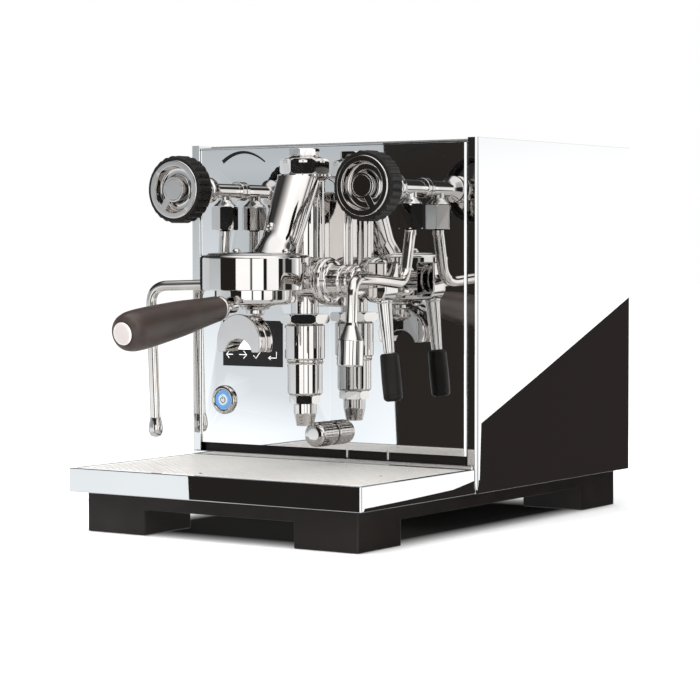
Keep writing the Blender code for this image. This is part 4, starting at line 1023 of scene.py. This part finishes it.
OVERHEAD = [
    (-180, 0.3, 0), (-150, 0.05, 0), (-58, 0.05, 0), (-47, 0.16, 0), (-22, 0.6, 0), (2, 1.3, 0), (14, 1.9, 0),
    (95, 1.9, 0), (112, 0.1, 0), (150, 0.06, 0), (180, 0.3, 0),
]
# The left front at each height above the horizon, in degrees
LEFT_FRONT = [
    (-90, 1.42, 0.4), (-5.5, 1.42, 0.4), (-3, 1.22, 0.5), (-1, 0.96, 0.5), (1, 0.76, 0.5), (2.8, 0.6, 0.6),
    (9, 0.56, 0.5), (30, 0.8, 0.3), (90, 1.3, 0.1),
]


def ramp(tree, factor, stops, low, high):
    """A colour that follows the stops while a factor runs from low to high."""
    made = node(tree, "ShaderNodeValToRGB", {0: spread(tree, factor, 0.0, 1.0, low, high)})
    elements = made.color_ramp.elements
    while len(elements) > 1:
        elements.remove(elements[-1])
    for index, (spot, bright, cool) in enumerate(stops):
        share = (spot - low) / (high - low)
        element = elements[0] if index == 0 else elements.new(share)
        element.position = share
        element.color = (bright * (1 - 0.2 * cool), bright * (1 - 0.09 * cool), bright, 1)
    return made.outputs[0]


def plain_tone(brightness):
    return brightness * 0.97, brightness * 0.985, brightness


def surround():
    """The world: plain white light, and for reflections a studio drawn by bearing and height in degrees."""
    world = bpy.data.worlds.new("studio")
    bpy.context.scene.world = world
    world.use_nodes = True
    tree = world.node_tree
    tree.nodes.clear()
    way = node(tree, "ShaderNodeSeparateXYZ", {0: node(tree, "ShaderNodeTexCoord").outputs["Generated"]})
    backward = maths(tree, "MULTIPLY", way.outputs[1], -1.0)
    bearing = maths(tree, "DEGREES", maths(tree, "ARCTAN2", way.outputs[0], backward))
    height = maths(tree, "DEGREES", maths(tree, "ARCSINE", way.outputs[2]))
    around = ramp(tree, bearing, AROUND, -180, 180)
    middle = ramp(tree, bearing, MIDDLE, -180, 180)
    overhead = ramp(tree, bearing, OVERHEAD, -180, 180)
    left_front = ramp(tree, height, LEFT_FRONT, -90, 90)
    past_left = maths(tree, "GREATER_THAN", bearing, -75.0)
    in_left = maths(tree, "MULTIPLY", past_left, maths(tree, "LESS_THAN", bearing, -6.0))
    band = mixed(tree, in_left, around, left_front)
    past_right = maths(tree, "GREATER_THAN", bearing, 110.0)
    behind = maths(tree, "MULTIPLY", past_right, spread(tree, height, 0.0, 1.0, 0.5, 2.6))
    tones = mixed(tree, behind, band, plain_tone(1.46))
    for start, end, above in (
        (13.0, 17.0, middle),
        (33.0, 38.0, overhead),
        (48.0, 66.0, plain_tone(1.7)),
        (-16.0, -26.0, plain_tone(0.95)),
    ):
        tones = mixed(tree, spread(tree, height, 0.0, 1.0, start, end), tones, above)
    paths = node(tree, "ShaderNodeLightPath")
    reflected = node(tree, "ShaderNodeBackground", {0: tones})
    plain = node(tree, "ShaderNodeBackground", {0: (1, 1, 1, 1)})
    inputs = {0: paths.outputs["Is Glossy Ray"], 1: plain.outputs[0], 2: reflected.outputs[0]}
    choice = node(tree, "ShaderNodeMixShader", inputs)
    node(tree, "ShaderNodeOutputWorld", {0: choice.outputs[0]})


def flags():
    """A tall dark flag beside the machine's left front, and a low one along its right side."""
    corners = [(-142.2, -343.7, -200), (-9.7, -430, -200), (-9.7, -430, 380), (-163.2, -330, 380)]
    card("front_flag", corners, DARK_CARD)
    beside = BODY_HALF_WIDTH + 30
    edge = [(-121, 30.9), (-60, 32.2), (15.6, 34.6), (54.4, 39.8), (57, 89), (154, 125), (344, 197.3)]
    edge += [(700, 330), (700, -150), (-240, -150)]
    card("side_flag", [(beside, y, z) for y, z in edge], (0.034, 0.028, 0.027))


def floor_sheet():
    """A plain pale floor in metres, with a painted contact shadow: it is dark only close under the base."""
    shape = bmesh.new()
    bmesh.ops.create_grid(shape, x_segments=2, y_segments=2, size=12.0)
    floor = added("studio_floor", mesh_from("studio_floor", shape))
    floor.location = (0, 0, -0.0002)
    paper = bpy.data.materials.new("studio_paper")
    paper.use_nodes = True
    tree = paper.node_tree
    shader = tree.nodes["Principled BSDF"]
    for key, value in (("Roughness", 0.9), ("Specular IOR Level", 0.0), ("Emission Color", (1, 1, 1, 1))):
        feed(tree, shader.inputs[key], value)
    place = node(tree, "ShaderNodeSeparateXYZ", {0: node(tree, "ShaderNodeTexCoord").outputs["Object"]})
    shares = []
    for output, middle, half_size in ((place.outputs[0], 0.013, 0.14), (place.outputs[1], 0.05, 0.205)):
        offset = maths(tree, "SUBTRACT", output, middle)
        shares.append(maths(tree, "ABSOLUTE", maths(tree, "DIVIDE", offset, half_size)))
    outside = maths(tree, "MAXIMUM", *shares)
    # Painted contact shadow: under the base's footprint the floor is dark and does not glow, fading out over a soft
    # edge
    painted_shadow_edge = (0.82, 1.04)
    share = spread(tree, outside, 0.0, 1.0, *painted_shadow_edge)
    tree.links.new(mixed(tree, share, (0.05, 0.048, 0.046), (0.92, 0.92, 0.92)), shader.inputs["Base Color"])
    tree.links.new(spread(tree, outside, 0.0, 0.14, *painted_shadow_edge), shader.inputs["Emission Strength"])
    floor.data.materials.append(paper)
    floor.visible_glossy = False


def lamps():
    """Two soft square lamps, with places and sizes in metres and power in watts."""
    aim = Vector((0, 0, 0.1))
    for name, place, size, power in (
        ("top_light", (-0.5, -0.8, 2.4), 2.2, 62),
        ("fill_light", (1.6, -1.6, 1.6), 1.6, 16),
    ):
        lamp = bpy.data.lights.new(name, "AREA")
        lamp.shape = "SQUARE"
        lamp.size = size
        lamp.energy = power
        light = added(name, lamp)
        light.location = place
        light.rotation_mode = "QUATERNION"
        light.rotation_quaternion = (aim - Vector(place)).to_track_quat("-Z", "Y")
        light.visible_glossy = False
        light.visible_camera = False


def camera():
    data = bpy.data.cameras.new("camera")
    data.lens = 120.18
    data.sensor_width = 36
    data.clip_start = 0.05
    data.clip_end = 60
    eye = added("camera", data)
    eye.location = (1.17415, -1.67903, 0.2405)
    eye.rotation_euler = (math.radians(90 - 2.48), math.radians(0.09), math.radians(34.08))
    bpy.context.scene.camera = eye


casing()
drip_tray()
group()
lever()
portafilter()
for tap_name, tap_side, spoke in (("steam", -1, 235), ("water", 1, 300)):
    tap(tap_name, tap_side)
    knob(tap_name, tap_side, spoke)
steam_wand()
water_wand()
display()
power_button()
pressure_knob()
carried_over()
surround()
flags()
floor_sheet()
lamps()
camera()
bpy.context.scene.view_settings.view_transform = "Standard"
